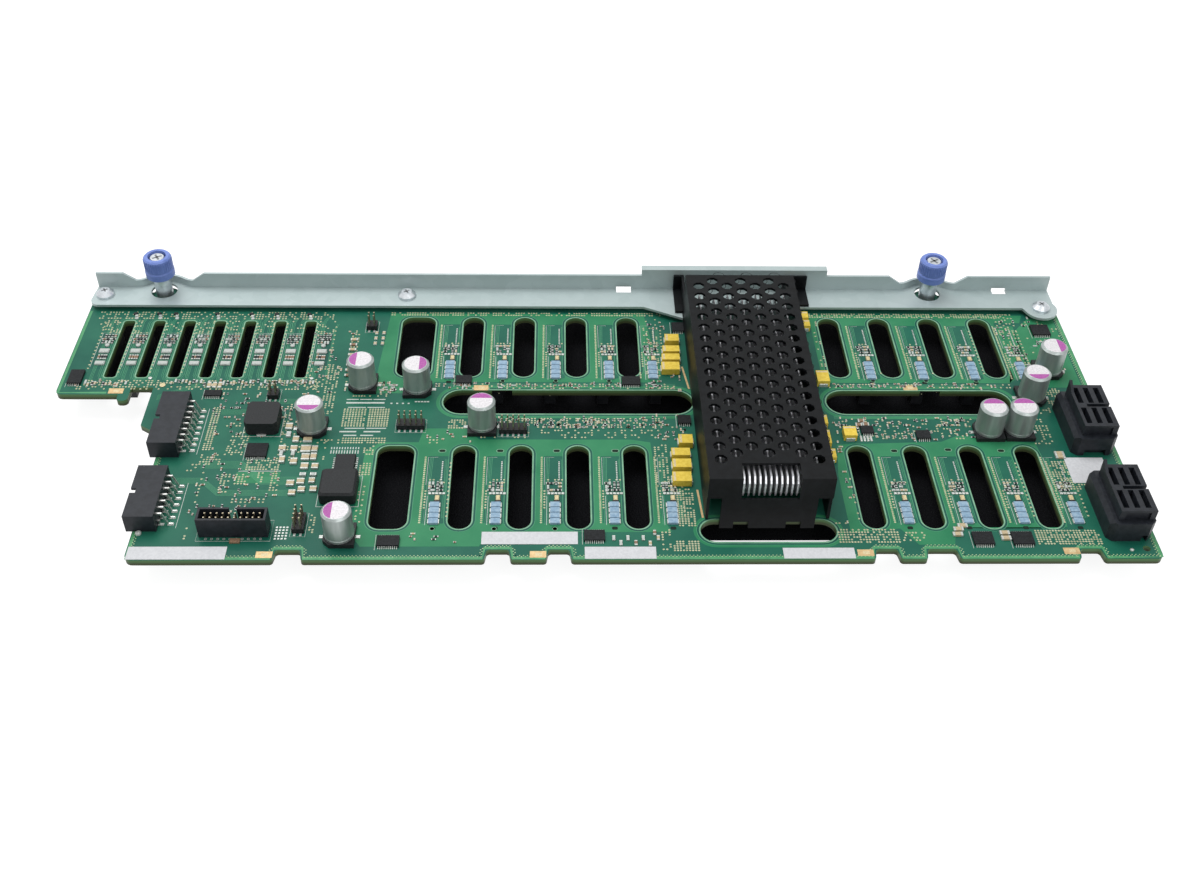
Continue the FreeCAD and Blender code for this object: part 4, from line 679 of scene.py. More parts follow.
def via_fields():
    # round the card slots, along the rail and along the wing's front
    for row in (
        (-188, 128.6, -96, 133.8, 1.15, 0.55), (-186.5, 122.5, -179, 128.4, 1.1, 0.35),
        (-186, 85.6, -97, 91.5, 1.1, 0.5),
    ):
        via_field(*row)
    for x in CARD_MIDDLES:
        via_field(x - 3.4, 119.4, x + 3.4, 128, 1.05, 0.3)
        via_line(x - 3.7, 96, x - 3.7, 126, 2.1)
        via_line(x + 3.7, 98, x + 3.7, 124, 2.6)
    # left part: beside the power pins, and the fields between inductor, small chips and choke
    for row in (
        (-133.4, 52.6, -130.2, 76, 0.98, 0.95), (-125.4, 50, -118.6, 62.6, 1.0, 0.62, 0.12),
        (-133.2, 45, -125.6, 50.8, 0.98, 0.75), (-138.2, 41.6, -133, 46, 1.1, 0.45),
        (-127.2, 65, -121.6, 67.6, 1.1, 0.8), (-116.6, 42.4, -104.8, 49, 0.98, 0.72),
        (-124.4, 31.2, -120.6, 40.8, 1.05, 0.62), (-119.4, 35.2, -115, 40.8, 1.0, 0.75),
        (-112, 35.2, -109.4, 41.6, 1.0, 0.75), (-107, 32, -103.6, 41.4, 1.05, 0.7),
        (-138.6, 51, -134.6, 76, 2.2, 0.35), (-131.5, 26, -129.5, 42, 1.6, 0.6),
        (-132, 8, -129.8, 15, 1.1, 0.7), (-119, 26, -107, 28.8, 1.35, 0.85),
        (-110.8, 60.5, -104.6, 78, 1.15, 0.45), (-106.8, 47, -98.6, 62, 1.3, 0.3),
        (-91, 12, -88.8, 21, 1.1, 0.7), (-78.4, 39.8, -73, 46.4, 0.98, 0.85),
        (-76.6, 11.5, -73.6, 35, 1.3, 0.5), (-76.8, 50.2, -72.8, 55.4, 0.98, 0.8),
        (-91.2, 36, -89.2, 58, 1.15, 0.5),
    ):
        via_field(*row)
    # between the left cans and the middle headers
    for row in (
        (-94.8, 72, -89.8, 101, 1.05, 0.75), (-104, 86, -95, 100, 1.2, 0.4),
        (-87.4, 85.4, -85.2, 91.2, 1.0, 0.7), (-86.2, 65.2, -77.6, 75.4, 0.96, 0.97),
        (-76.9, 65.2, -69.2, 75.4, 0.96, 0.97), (-84.8, 81.8, -70.8, 84, 1.0, 0.75),
        (-85, 56.2, -69.2, 59.6, 0.98, 0.85), (-93.8, 56, -85.4, 58.8, 1.1, 0.5),
        (-47.8, 64.2, -41, 69.4, 0.95, 0.7), (-54.2, 56, -50.4, 60.4, 1.1, 0.7),
        (-88, 100, -84.6, 122, 1.05, 0.55),
    ):
        via_field(*row)
    for row in (
        (-85.6, -71, 78.5, 14, 0.6, 0.85), (-85.6, -71, 80.4, 4.4, 0.5, 0.5),
        (-84.6, -70, 75.9, 6.4, 0.6, 0.45), (-84.6, -69.4, 64.4, 7.2, 0.5, 0.5),
        (-86.2, -71.4, 62.6, 6, 2.6, 0.7), (-84.6, -71.4, 60.6, 4.6, 1.4, 0.6),
        (-69.4, -61.4, 78.2, 0.7, 1.4, 0.7), (-60.6, -55.2, 79.2, 0.9, 0.2, 0.7),
    ):
        dashes(*row)
    for index in range(11):
        x = -87.9 + index * 0.95
        SILK.strip([(x, 51), (x, 52.7)], 0.4, 0.045)
        SILK.strip([(x, 53.3), (x, 54.4)], 0.4, 0.045)
    # the strip between the middle slots and the drive columns
    for row in (
        (-40, 64.6, 34, 70.4, 1.15, 0.42), (-36, 59, 30, 64, 1.2, 0.3), (88, 58.6, 150, 70.4, 1.2, 0.22),
        (-54, 86.4, 36, 90, 1.15, 0.4), (90, 87, 163, 90.4, 1.15, 0.4), (-74, 131.4, 34, 134, 1.0, 0.75),
        (92, 131, 172, 134, 1.0, 0.8),
    ):
        via_field(*row)
    # beside the cover
    for row in (
        (25.8, 34, 31, 56, 1.05, 0.55), (31.4, 15, 39.6, 33.4, 1.0, 0.72), (30, 3.6, 39, 8.6, 1.0, 0.9),
        (26.2, 4, 29.8, 14, 1.1, 0.5), (25, 94, 31, 130, 1.1, 0.4), (85.2, 16, 89.6, 33, 1.05, 0.6),
        (90, 18, 94.6, 44, 1.25, 0.25), (85.4, 7.2, 106.2, 14, 0.98, 0.8),
        (106.6, 8, 115, 12.6, 1.0, 0.55, 0.4), (89.6, 100, 95, 130, 1.15, 0.4),
    ):
        via_field(*row)
    # right end
    for row in (
        (164.6, 32.6, 176.4, 47.4, 1.0, 0.8), (152, 6.4, 174, 13.4, 0.98, 0.82),
        (171.2, 73.4, 181, 87.6, 1.0, 0.7), (163.5, 56, 171, 75, 1.15, 0.45),
        (166, 100, 174, 134, 1.15, 0.35), (176, 104, 190.6, 131, 1.5, 0.16),
    ):
        via_field(*row)
    # both sides of each drive's column
    for x, front, rear in STACKS:
        via_line(x - 4.7, front + 1, x - 4.7, rear + 23, 0.95)
        via_line(x - 3.6, front + 8, x - 3.6, rear + 6, 1.3)
        via_line(x + 4.2, front + 4, x + 4.2, rear + 20, 1.9)
        via_field(x - 3, rear + 9.6, x + 3, rear + 12.2, 1.1, 0.6)


def traces():
    """Bundles of fine tracks with their forty-five degree bends."""
    tracks = Layer("tracks", TRIM["trace"])
    pitch, width, height = 0.5, 0.16, 0.028

    def bundle(path, count, side=(1, 0)):
        for index in range(count):
            shift = index * pitch
            moved = [(x + side[0] * shift, y + side[1] * shift) for x, y in path]
            run = []
            for (x0, y0), (x1, y1) in zip(moved, moved[1:]):
                steps = max(int(math.hypot(x1 - x0, y1 - y0) / 1.5), 1)
                for x, y in along_line(x0, y0, x1, y1, steps):
                    if is_free(x, y, 0.2):
                        run.append((x, y))
                        continue
                    if len(run) > 1:
                        tracks.strip(run, width, height)
                    run = []
            if len(run) > 1:
                tracks.strip(run, width, height)

    for middle in CARD_MIDDLES:
        x = middle - 0.1
        bundle([(x - 1.6, 90), (x - 1.6, 127), (x - 0.6, 130)], 3)
        bundle([(x + 3.2, 91), (x + 3.2, 122), (x + 4.2, 126)], 2)
    for x, front, rear in STACKS:
        bundle([(x - 3.4, front), (x - 3.4, rear + 4), (x - 3, rear + 23)], 3)
        bundle([(x + 2.6, front + 3), (x + 2.6, rear + 10), (x + 2.2, rear + 22)], 3)
    bundle([(-45, 71.4), (30, 71.4)], 3, side=(0, -1))
    bundle([(-48, 88), (36, 88)], 4, side=(0, 1))
    bundle([(92, 88), (160, 88)], 4, side=(0, 1))
    bundle([(90, 71.4), (160, 71.4)], 4, side=(0, -1))
    bundle([(-130, 72), (-118, 72), (-112, 78), (-100, 78)], 6, side=(0, 1))
    bundle([(-132, 47), (-118, 47), (-110, 39), (-96, 39)], 8, side=(0, -1))
    bundle([(-146, 36), (-130, 36), (-124, 30), (-100, 30)], 6, side=(0, 1))
    bundle([(-155, 80), (-140, 88)], 6, side=(0, 1))
    bundle([(176, 112), (182, 118), (182, 130)], 5)
    bundle([(152, 52), (160, 60), (160, 72)], 5)
    tracks.done()


# ------------------------------------------------------------------ soldered parts

PARTS = {kind: Layer(kind + "_chips", TRIM[kind])
         for kind in ("black_part", "brown_part", "tan_part", "white_part")}
ENDS = Layer("part_terminals", TRIM["solder"])
SILK = Layer("silk_lines", TRIM["silk"])
AMBER = Layer("round_parts", TRIM["amber"])
DARK_PATCH = Layer("dark_mask_patches", TRIM["dark_mask"])
BUTTON = [(0.75, 0), (0.7, 0.3), (0.01, 0.35)]


def passive(x, y, length, width, kind="black_part", upright=False, height=0.5):
    """A two-terminal chip: its body between two soldered ends; upright turns its length along y."""
    if not is_free(x, y, 0.2):
        return
    body, end = length * 0.56, length * 0.22
    if upright:
        PARTS[kind].block(x, y, 0, width, body, height, 0.06)
        for side in (-1, 1):
            ENDS.block(x, y + side * (body + end) / 2, 0, width * 1.06, end, height * 0.96, 0.06)
    else:
        PARTS[kind].block(x, y, 0, body, width, height, 0.06)
        for side in (-1, 1):
            ENDS.block(x + side * (body + end) / 2, y, 0, end, width * 1.06, height * 0.96, 0.06)


def passive_field(left, front, right, rear, count, kinds=("black_part", "brown_part", "tan_part")):
    """Small chips on a loose grid, as round a dense circuit."""
    for _ in range(count):
        x = round(dice.uniform(left, right) / 0.7) * 0.7
        y = round(dice.uniform(front, rear) / 1.3) * 1.3
        passive(x, y, dice.choice((1.0, 1.6)), 0.6, dice.choice(kinds), dice.random() < 0.6, 0.4)


def card_clusters():
    """The repeated circuit between the card slots, and its dense row in front of them."""
    for x in CARD_MIDDLES:
        DARK_PATCH.polygon(round_outline(x - 3, 98, x + 3, 119.6, 0.5, 1), 0.02)
        PARTS["white_part"].block(x, 108.3, 0, 3.8, 2.3, 0.8, 0.25)
        PARTS["white_part"].block(x, 101, 0, 3.7, 2.1, 0.8, 0.25)
        for shift in (-1.3, -0.3, 0.6, 1.4):
            kind = dice.choice(("brown_part", "black_part", "brown_part"))
            passive(x + shift, 104.7, 2.6, 0.7, kind, True)
        PARTS["white_part"].turned(x + 0.2, 111.9, [(0.9, 0), (0.9, 0.5), (0.6, 0.7), (0.01, 0.72)], 12)
        for row, y in enumerate((113.8, 115.7, 117.6)):
            for shift in (-1.9, -0.7, 0.6, 1.7):
                kind = dice.choice(("black_part", "black_part", "white_part", "brown_part"))
                passive(x + shift + 0.2 * row, y, 1.7, 0.8, kind, row % 2 == 0)
        SILK.strip([(x - 3.2, 99), (x - 3.2, 119.8), (x + 3, 119.8)], 0.16, 0.04)
    for x in (-173.6, -164.4, -157.9, -141.8, -128.4, -118.5, -105.7):
        PARTS["black_part"].block(x - 0.4, 132, 0, 1.5, 1.2, 0.6, 0.1)
        ENDS.block(x + 0.3, 130.6, 0, 1.2, 1.1, 0.5, 0.1)
        PARTS["white_part"].turned(x + 0.6, 129.2, BUTTON, 10)
    for x, y in ((-159.8, 93.5), (-100, 93.5)):
        ENDS.turned(x, y - 1.2, BUTTON, 10)
    AMBER.turned(-154.4, 88.3, [(1.1, 0), (1.1, 0.25), (0.5, 0.3), (0.01, 0.3)], 14)
    for index in range(64):
        x = -186 + index * 1.38 + dice.uniform(-0.3, 0.3)
        if not -168 < x < -152:
            passive(x, 89.6 + dice.uniform(-1.6, 1.2), dice.choice((1.5, 1.9, 2.3)), 0.75,
                    dice.choice(("black_part", "white_part", "brown_part", "tan_part")), True)
    for x in (-137.2, -135.2, -133.2):
        passive(x, 88.2, 3.2, 1.3, "tan_part", True, 0.6)


def drive_clusters():
    """Behind each blue resistor stack: a lamp, solder ends, small chips and a line of pads."""
    for x, front, rear in STACKS:
        # a dark oval of painted shade for a hole in front of the stack
        HOLE_SHADE.polygon(round_outline(x - 1, front - 2.4, x + 0.9, front - 1, 0.4, 2), 0.05)
        AMBER.block(x + 0.6, rear + 2.3, 0, 1.5, 2.3, 0.8, 0.25)
        PARTS["black_part"].block(x + 0.6, rear + 0.8, 0, 2.2, 0.8, 0.5, 0.1)
        for shift in (-2.4, -1.2, 0, 1.2, 2.4):
            ENDS.block(x + 0.3 + shift, rear + 4.7, 0, 1.0, 0.9, 0.35, 0.08)
        for row in range(3):
            for shift in (-2.4, -1.2, 0.4, 1.7):
                if dice.random() < 0.88:
                    kind = dice.choice(("black_part", "white_part", "black_part", "tan_part"))
                    passive(x + shift, rear + 6.2 + row * 1.7, 1.4, 0.8, kind, dice.random() < 0.5)
        for index in range(11):
            ENDS.block(x + 1.4, rear + 11.6 + index * 0.9, 0, 0.5, 0.55, 0.12, 0.03)
        SILK.strip([(x - 3.7, rear + 9), (x - 3.7, rear + 23), (x - 0.4, rear + 23)], 0.14, 0.04)
        SILK.strip([(x - 2.8, front - 0.2), (x - 2.8, rear + 3.6)], 0.16, 0.04)
    for left, front, right, rear, _, top in ISLANDS["resistor_arrays"]:
        for side_x in (left - 0.15, right + 0.15):
            ENDS.block(side_x, (front + rear) / 2, 0, 0.5, (rear - front) * 0.85, top * 0.7, 0.1)


def chip_leads():
    """Gull-wing leads on two sides of every logic chip."""
    leads = Layer("chip_leads", TRIM["solder"])
    marks = Layer("chip_marks", TRIM["silk"])
    for left, front, right, rear, _, top in ISLANDS["logic_chips"]:
        count = max(int((right - left - 0.6) / 0.65), 3)
        pitch = (right - left - 0.6) / count
        for index in range(count):
            x = left + 0.3 + (index + 0.5) * pitch
            for edge, out in ((front, -1), (rear, 1)):
                leads.block(x, edge + out * 0.18, 0.25, 0.28, 0.36, top * 0.35)
                leads.block(x, edge + out * 0.62, 0, 0.3, 0.6, 0.28, 0.05)
        marks.strip([(left - 0.5, front - 1.2), (left - 0.5, rear + 1.2)], 0.16, 0.04)
        # the dimple on the chip's top, a dark disc of painted shade
        HOLE_SHADE.disc(left + 0.8, front + 0.8, top + 0.01, 0.3, 10)
    leads.done()
    marks.done()


def tantalum_ends():
    """Tinned tabs at both ends of each tantalum block, and the stripe on its positive end."""
    tabs = Layer("tantalum_tabs", TRIM["solder"])
    stripes = Layer("tantalum_stripes", TRIM["amber"])
    for left, front, right, rear, _, top in ISLANDS["tantalum_capacitors"]:
        x, y = (left + right) / 2, (front + rear) / 2
        width, depth = right - left, rear - front
        if width > depth:
            for side in (left - 0.15, right + 0.15):
                tabs.block(side, y, 0, 0.5, depth * 0.7, top * 0.55, 0.1)
            stripe = (left + 0.35, front + 0.2, left + 1.15, rear - 0.2)
        else:
            for side in (front - 0.15, rear + 0.15):
                tabs.block(x, side, 0, width * 0.7, 0.5, top * 0.55, 0.1)
            stripe = (left + 0.2, rear - 1.15, right - 0.2, rear - 0.35)
        stripes.polygon(round_outline(*stripe, 0.1, 1), top + 0.015)
    tabs.done()
    stripes.done()


def loose_parts():
    """Other small parts, group by group."""
    ceramics = [
        (-104.3, 64.9, 3.2, 2.4), (-103.9, 60.6, 2.6, 1.6), (-105.1, 53.2, 2.8, 2.4), (-105.1, 50.8, 3, 1.2),
        (-101, 58, 3, 2.1), (-101, 53.2, 2.6, 2.3), (-101, 50.8, 2.4, 1.2), (-104.4, 47.5, 3.2, 1.9),
        (-100.2, 46.6, 3, 2.3), (-96.8, 58, 3.2, 3), (-96.8, 53, 3.6, 3.4), (-93.7, 53, 3, 2),
        (-96.4, 48.8, 3.2, 2.7), (-93.6, 49, 3.4, 2), (-96.1, 44.1, 3, 2.5), (-92.5, 44.1, 2.6, 2.2),
        (-96.1, 39.9, 2.2, 1.4), (-92.5, 39.9, 2.2, 1.4), (-96.4, 36.5, 2.7, 2.5), (-92.6, 36.9, 2.4, 2),
        (-99.8, 35.6, 2.6, 2.5), (-95.6, 32.5, 2.5, 2.3), (-91.6, 32.7, 2.5, 2.3), (-98.6, 30.9, 2.4, 2.3),
    ]
    for x, y, length, width in ceramics:
        passive(x, y, length, width, "white_part" if width < 1.8 else "tan_part", length > 2.3, 0.9)
    for x, y, kind in ((10.5, 9.5, "white_part"), (15.2, 9.5, "white_part"), (20.3, 9.5, "white_part"),
                       (12.8, 7.3, "white_part"), (17.8, 7.3, "brown_part"), (22.5, 7, "tan_part"),
                       (24.2, 12, "brown_part"), (25.3, 9.6, "tan_part")):
        passive(x, y, 2.1, 1, kind, True, 0.6)
    for x, y in ((126.5, 13.4), (128.2, 15), (125.8, 11), (141.7, 11.6), (141.7, 9.2), (170.9, 50.9),
                 (170.9, 49.2)):
        passive(x, y, 3.4, 1.6, "tan_part", False, 0.8)
    for x, y in ((102.6, 68.4), (101.4, 66.2), (104, 66.4)):
        passive(x, y, 2.4, 1.6, "brown_part", False, 0.8)
    for index in range(4):
        ENDS.block(101.2 + index * 1.2, 59, 0, 0.8, 2.8, 0.3, 0.08)
    PARTS["brown_part"].block(-114, 8.4, 0, 3.4, 1.9, 0.7, 0.12)
    for row in range(5):
        for column in range(4):
            if is_free(-101.2 + column * 1.15, 9.6 + row * 1.3, 0.2):
                ENDS.block(-101.2 + column * 1.15, 9.6 + row * 1.3, 0, 0.7, 0.7, 0.1, 0.02)
    SILK.strip([(-118.6, 42), (-104, 42)], 0.3, 0.045)
    for row in range(8):
        passive(-86.6, 94 + row * 3.1, 2.8, 1.2, "tan_part" if row % 3 else "brown_part", False, 0.7)
    for x in (-78.4, -75.6):
        for y in (120, 116.6, 113.4):
            passive(x, y, 1.8, 1.1, "tan_part", True, 0.6)
    for row in (
        (-74.4, 84.4, -67.8, 90.6, 26, ("brown_part", "tan_part", "white_part")), (-56, 57, -38, 63, 10),
        (-40, 64.6, 32, 70, 130), (-54, 87.4, 30, 90, 60, ("black_part", "brown_part", "white_part")),
        (26, 58, 38, 130, 80), (85, 16, 94, 60, 46), (92, 87.6, 162, 90.2, 44), (92, 59, 150, 70.4, 110),
        (163, 92, 189, 132, 34, ("black_part", "white_part", "tan_part")), (-134, 60, -96, 84, 90),
        (-132, 20, -104, 58, 60), (-104, 84, -86, 122, 40, ("black_part", "tan_part", "brown_part")),
        (-60, 7, -40, 12, 6), (40, 133, 90, 133.8, 8),
    ):
        passive_field(*row)


def jumper_solder():
    """White solder fillets in front of and behind every header, and a printed frame round it."""
    for left, front, right, rear, _, _ in ISLANDS["jumper_headers"]:
        count = round((right - left) / HEADER_PITCH)
        for index in range(count):
            x = left + (index + 0.5) * (right - left) / count
            for y in (front - 0.7, rear + 0.7):
                ENDS.block(x, y, 0, 0.8, 1.2, 0.3, 0.1)
        SILK.border((left, front, right, rear), 0.5, 1.5, 0.15, 0.04)


def pin_feet(node):
    """Where the feet of a group of power pins meet the board."""
    _, front, right, rear, _, _ = part_box(node)
    for index in range(round((rear - front) / PIN_PITCH) + 1):
        for x in (right - 0.9, right - 4.1):
            yield x, front + 0.3 + index * PIN_PITCH


def power_solder():
    """Oval solder pads under the feet of the power pins."""
    for node in ("power_pins_1", "power_pins_2"):
        for x, y in pin_feet(node):
            ENDS.block(x, y, 0, 2.1, 1.1, 0.22, 0.1)
        _, front, right, rear, _, _ = part_box(node)
        SILK.strip([(right + 1, front - 1.5), (right + 1, rear + 1.5)], 0.18, 0.04)


def ribbon_solder():
    box = part_box("ribbon_header")
    left, front, right, rear, _, _ = box
    for along in RIBBON_PLACES:
        x = (left + right) / 2 + along
        for y in (front - 0.8, rear + 0.8):
            ENDS.disc(x, y, 0.05, 0.5, 10, 0.2)
    SILK.border(box, 0.8, 1.8, 0.16, 0.04)


# ------------------------------------------------------------------ larger parts

def capacitor_lids():
    """Grey lids with a pink segment, the turned-in edge and the groove above the base of each can."""
    turns = {1: 180, 2: 0, 3: 90, 4: 270, 5: 180, 6: 0, 7: 270, 8: 90, 9: 90}
    grey = Layer("can_lids", TRIM["lid_grey"])
    pink = Layer("can_lid_marks", TRIM["lid_pink"])
    groove = Layer("can_grooves", MATERIALS["capacitor_can"])
    for number, start in turns.items():
        left, front, right, rear, bottom, top = part_box(f"bulk_capacitor_{number}")
        x, y, radius = (left + right) / 2, (front + rear) / 2, (right - left) / 2
        lid, half_chord = radius - 0.95, 70
        middle = math.radians(start)
        for layer, begin, end in ((pink, -half_chord, half_chord), (grey, half_chord, 360 - half_chord)):
            arc = [middle + math.radians(begin + (end - begin) * step / 20) for step in range(21)]
            outline = [(x + lid * math.cos(turn), y + lid * math.sin(turn)) for turn in arc]
            layer.polygon(outline, top + 0.02)
        for low, profile in ((bottom, [(0, 0.5), (0.12, 0.7), (0.12, 1), (-0.02, 1.3)]),
                             (top, [(-0.72, -0.005), (-0.8, 0.05), (-0.95, 0.02)])):
            groove.turned(x, y, [(radius + out, low + rise) for out, rise in profile], 40)
        for side in (-1, 1):
            ENDS.block(x + side * 6, y, 0, 1.6, 1.4, 0.25, 0.08)
    grey.done()
    pink.done()
    groove.done(smooth=True)


def choke_and_driver():
    """The filter choke as a thick moulded block, and the low chip that stands behind it."""
    choke = Layer("choke_block", MATERIALS["inductor_body"])
    levels = [(0, 0.25), (0.6, 0), (4.2, 0), (5, 0.7)]
    left, front, right, rear = CHOKE
    outlines = [round_outline(left + inset, front + inset, right - inset, rear - inset, 1.2, 4)
                for _, inset in levels]
    points = [(x, y, height) for (height, _), outline in zip(levels, outlines) for x, y in outline]
    count = len(outlines[0])
    faces = [[ring * count + i, ring * count + (i + 1) % count, (ring + 1) * count + (i + 1) % count,
              (ring + 1) * count + i] for ring in range(3) for i in range(count)]
    choke.add(points, faces + [list(range(3 * count, 4 * count))])
    choke.block(-82.15, 44.4, 0, 6.9, 9.8, 1.6, 0.2)
    block = choke.done()
    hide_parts("filter_choke")


def inductor_trim():
    """Tinned tabs before and behind the power inductor and the choke, and the printed lines round both."""
    for left, front, right, rear in (part_box("power_inductor")[:4], CHOKE):
        x = (left + right) / 2
        for y in (front - 0.2, rear + 0.2):
            ENDS.block(x, y, 0, 3.4, 1.6, 0.5, 0.12)
        SILK.border((left, front, right, rear), 0.9, 0.9, 0.3, 0.04)
    for index in range(9):
        for x in (-86.1, -78.2):
            ENDS.block(x, 40.4 + index, 0, 0.8, 0.45, 0.4, 0.06)


def labels():
    """Bare paper labels."""
    paper = Layer("labels", TRIM["paper"])
    for left, front, right, rear in ((-148, 0.3, -116, 6), (-33.3, 6.9, -1.4, 12.6), (0.8, 0.3, 24.3, 5.7),
                                     (66.2, 0.3, 89.9, 5.1), (172, 36, 186, 49)):
        paper.block((left + right) / 2, (front + rear) / 2, 0.05, right - left, rear - front, 0.12, 0.04)
    paper.done()


def gold_pads():
    pads = Layer("gold_pads", TRIM["gold_pad"])
    frames = Layer("pad_marks", TRIM["amber"])
    for x, y in ((-170.7, 85), (-103.6, 2.4), (-14.5, 2.4), (93.5, 2.9), (162.4, 3.6), (124.4, 87.7),
                 (-36.6, 87.2)):
        pads.block(x, y, 0.02, 5.4, 2.9, 0.05, 0.01)
        frames.polygon(round_outline(x - 0.9, y - 0.7, x + 1.3, y + 0.7, 0.2, 2), 0.08)
    for path in ([(39.2, 99.9), (41, 86.8)], [(40, 32.7), (40.9, 19.1)]):
        pads.strip(path, 0.7, 0.06)
    pads.done()
    frames.done()
    peg = Layer("white_peg", TRIM["white_part"])
    peg.turned(-146.2, 12, [(1, 0), (1, 0.6), (0.8, 0.8), (0.01, 0.85)], 16)
    peg.done(smooth=True)


def small_holes():
    """Plated and plain holes beside the slots; each hole is a dark disc of painted shade inside its ring."""
    ovals = ((-48.8, 52.5), (-28.4, 52.5), (-8.4, 52.5), (12.3, 52.5), (112, 52.6), (131.5, 53.2),
             (150.5, 52.7))
    rounds = ((-49.9, 14.1), (-29.3, 14), (-9, 14), (-28.7, 91.3), (-8.8, 91.4), (11.2, 91.4), (111.1, 91.8),
              (131.3, 91.8), (150.4, 91.9))
    rings = Layer("hole_rings", TRIM["slot_rim"])
    for x, y in ovals:
        HOLE_SHADE.polygon(round_outline(x - 1.1, y - 0.6, x + 1.1, y + 0.6, 0.6, 4), 0.05)
        rings.strip(round_outline(x - 1.3, y - 0.8, x + 1.3, y + 0.8, 0.8, 4), 0.2, 0.052, closed=True)
    for x, y in rounds:
        HOLE_SHADE.disc(x, y, 0.05, 0.75, 12)
        rings.disc(x, y, 0.052, 0.95, 12, 0.75)
    ENDS.turned(182.7, 4, [(0.7, 0), (0.6, 0.3), (0.01, 0.45)], 12)
    rings.done()


def perforation_rings():
    """Round rims over the eight-sided perforations of the cover."""
    left, _, right, _, _, top = part_box("expander_cover")
    cover_rear, first_hole, pitch, column = 14.6, 3.9, 6.53, 5.45
    hole, rim = 2.05, 2.3
    middle, first = (left + right) / 2, BOARD_REAR - cover_rear - first_hole
    rims = Layer("perforation_rims", MATERIALS["charcoal_sheet"])
    places = [(step * column, row * pitch) for step in (-2, 0, 2) for row in range(16)]
    places += [(step * column, (row + 0.5) * pitch) for step in (-3, -1, 1, 3) for row in range(15)]
    places += [(step * column, 15.5 * pitch) for step in (-3, 3)]
    for across, back in places:
        rims.disc(middle + across, first - back, top + 0.015, rim, 24, hole)
    rims.done()


def screw_crosses():
    """Cross recesses in the rail's screws and in both thumbscrews, drawn as flat dark crosses of painted
    shade.
    """
    def cross(layer, x, y, z, reach, width):
        turn = math.radians(30)
        for arm in (turn, turn + math.pi / 2):
            # each arm is a thin flat block of painted shade lying on the head, not a cut
            layer.block(x, y, z - 0.02, 2 * reach, width, 0.04, 0.0, arm)
    rail = Layer("rail_screw_cross_shade", TRIM["recess"])
    for left, front, right, rear, _, top in islands("rail_screws"):
        cross(rail, (left + right) / 2, (front + rear) / 2, top, 1.25, 0.6)
    rail.done()
    for side in ("left", "right"):
        left, front, right, rear, _, top = part_box(f"captive_screw_{side}")
        drive = Layer(f"thumbscrew_cross_shade_{side}", TRIM["recess"], f"thumbscrew_{side}")
        cross(drive, (left + right) / 2, (front + rear) / 2, top, 1.9, 0.8)
        drive.done()


def knob_ribs():
    """Fine ribs round the grip of both knobs."""
    for side in ("left", "right"):
        left, front, right, rear, bottom, top = part_box(f"thumb_knob_{side}")
        x, y, radius = (left + right) / 2, (front + rear) / 2, (right - left) / 2
        ribs = Layer(f"knob_ribs_{side}", MATERIALS["blue_knob_plastic"], f"thumbscrew_{side}")
        for index in range(36):
            turn = 2 * math.pi * index / 36
            reach = radius - 0.3
            ribs.block(x + reach * math.cos(turn), y + reach * math.sin(turn), bottom + 4.2, 0.34, 0.42,
                       top - bottom - 5.2, 0.1, turn)
        ribs.done()


# ------------------------------------------------------------------ underside

def underside():
    """Solder joints, vias and small parts on the side that faces the drives."""
    back = -THICKNESS
    joints = Layer("underside_joints", TRIM["solder"])
    dots = Layer("underside_vias", TRIM["via"])
    for node in ("power_pins_1", "power_pins_2"):
        for x, y in pin_feet(node):
            joints.turned(x, y, [(0.9, back - 0.02), (0.4, back - 0.5), (0.3, back - 1)], 8)
    left, front, right, rear, _, _ = part_box("ribbon_header")
    for along in RIBBON_PLACES:
        for row in (-1, 1):
            joints.turned((left + right) / 2 + along, (front + rear) / 2 + row,
                          [(0.7, back - 0.02), (0.35, back - 0.4), (0.25, back - 0.9)], 8)
    for _ in range(1500):
        x, y = dice.uniform(-190, 190), dice.uniform(2, 132)
        if is_free(x, y, 0.5):
            dots.disc(round(x, 0), round(y, 0), back - 0.03, 0.32, 6, 0.13, down=True)
    joints.done()
    dots.done()


def socket_contacts():
    """Gold contacts along both walls of each drive socket's slot."""
    contacts = Layer("socket_contacts", MATERIALS["gold_pins"])
    names = [name for name in frame["nodes"] if name.startswith("drive_socket")]
    for name in sorted(names):
        left, front, right, rear, bottom, _ = part_box(name)
        x, y = (left + right) / 2, (front + rear) / 2
        for index in range(24):
            along = y + (index - 11.5) * 1.2
            for side in (-1, 1):
                contacts.block(x + side * 0.9, along, bottom + 2.4, 0.16, 0.5, 4.6)
    contacts.done()


# ------------------------------------------------------------------ stage, light and camera

def flat_piece(name, left, front, right, rear, height, material):
    mesh = bpy.data.meshes.new(name)
    corners = [(left, front, height), (right, front, height), (right, rear, height), (left, rear, height)]
    mesh.from_pydata(corners, [], [[0, 1, 2, 3]])
    mesh.materials.append(material)
    new_piece(name, mesh)


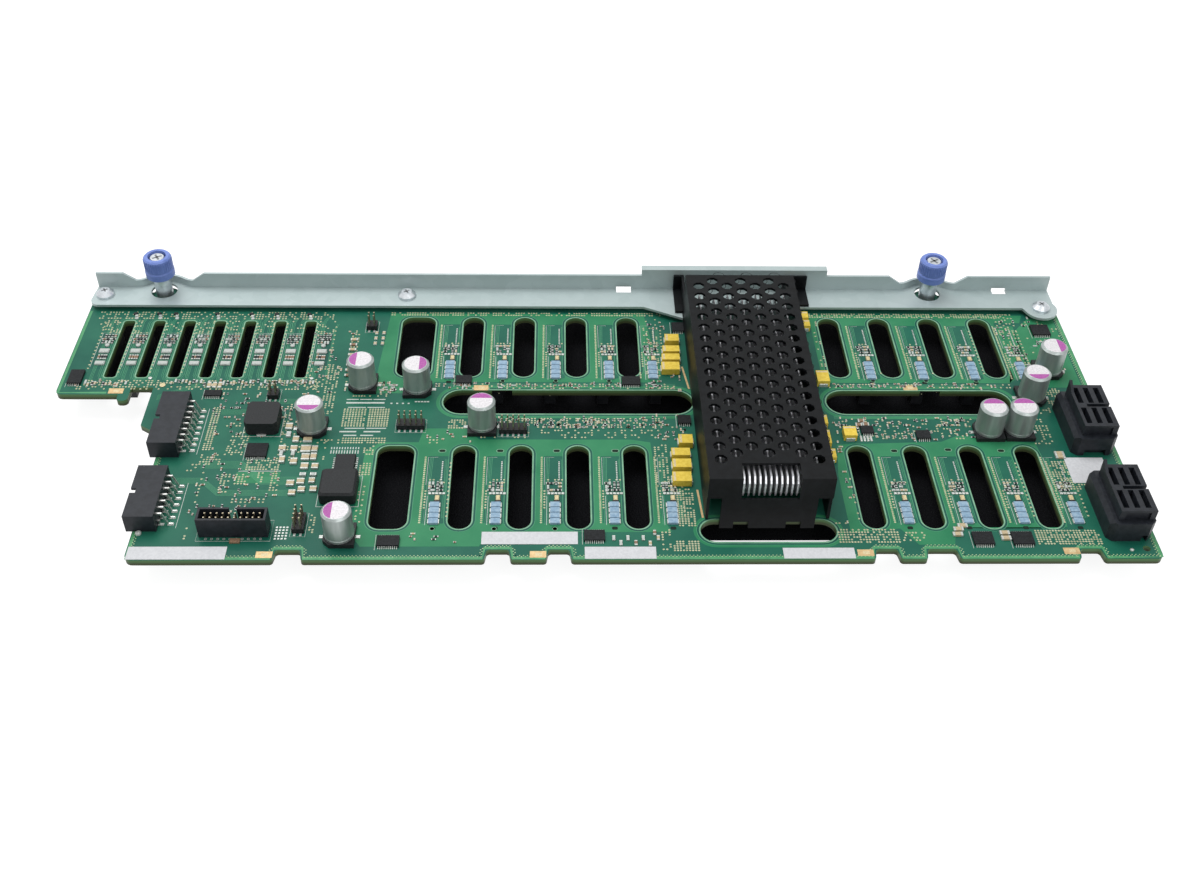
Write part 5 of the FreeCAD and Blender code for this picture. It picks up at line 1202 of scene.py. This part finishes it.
def stage():
    flat_piece("floor", -4, -4, 4, 4, 0, floor_finish())
    cloth = backing_cloth()
    flat_piece("cloth_left", -0.189, 0.026, -0.1, 0.072, 0.0004, cloth)
    flat_piece("cloth_middle", -0.1, -0.056, 0.182, 0.072, 0.0004, cloth)
    world = bpy.data.worlds.new("studio")
    bpy.context.scene.world = world
    world.use_nodes = True
    nodes, links = world.node_tree.nodes, world.node_tree.links
    seen = ray_kinds(nodes, links, "Is Camera Ray", "Is Glossy Ray", "Is Transmission Ray")
    level = new_node(nodes, "MapRange", To_Min=0.5, To_Max=1.0)
    links.new(seen, level.inputs["Value"])
    backdrop = nodes["Background"]
    backdrop.inputs["Color"].default_value = (1, 1, 1, 1)
    links.new(level.outputs["Result"], backdrop.inputs["Strength"])


def lamp(name, place, target, size, power):
    light = bpy.data.lights.new(name, "AREA")
    light.shape = "SQUARE"
    light.size = size
    light.energy = power
    lamp_object = bpy.data.objects.new(name, light)
    lamp_object.location = place
    lamp_object.rotation_euler = (Vector(target) - Vector(place)).to_track_quat("-Z", "Y").to_euler()
    bpy.context.scene.collection.objects.link(lamp_object)


def lights():
    lamp("key_light", (-0.35, 0.35, 1.3), (0, 0, 0), 0.9, 14)
    lamp("front_light", (0.5, -1.0, 0.9), (0, 0, 0), 0.8, 5)


def camera():
    """The photograph's view: 42.4 degrees down, turned 2.3 degrees and rolled 1.6 degrees."""
    pitch, turn, roll = (math.radians(angle) for angle in (42.39, 2.30, 1.59))
    forward = Vector((math.sin(turn) * math.cos(pitch), math.cos(turn) * math.cos(pitch), -math.sin(pitch)))
    level = Vector((math.cos(turn), -math.sin(turn), 0))
    above = level.cross(forward)
    right = math.cos(roll) * level + math.sin(roll) * above
    up = math.cos(roll) * above - math.sin(roll) * level
    view = Matrix((right, up, -forward)).transposed().to_4x4()
    view.translation = Vector((-8.35, -380.65, 340)) * MM
    lens = bpy.data.cameras.new("camera")
    lens.lens = 41.23
    lens.sensor_width = 36
    lens.clip_start = 0.01
    eye = bpy.data.objects.new("camera", lens)
    eye.matrix_world = view
    bpy.context.scene.collection.objects.link(eye)
    bpy.context.scene.camera = eye


# ------------------------------------------------------------------ build

dress_nodes()
slot_rims()
pours()
front_edge_stitching()
via_fields()
traces()
card_clusters()
drive_clusters()
chip_leads()
tantalum_ends()
loose_parts()
jumper_solder()
power_solder()
ribbon_solder()
capacitor_lids()
choke_and_driver()
inductor_trim()
labels()
gold_pads()
small_holes()
perforation_rings()
screw_crosses()
knob_ribs()
underside()
socket_contacts()
for layer in [VIAS, HOLE_SHADE, ENDS, SILK, AMBER, DARK_PATCH, *PARTS.values()]:
    layer.done()
stage()
lights()
camera()
bpy.context.scene.view_settings.view_transform = "Standard"
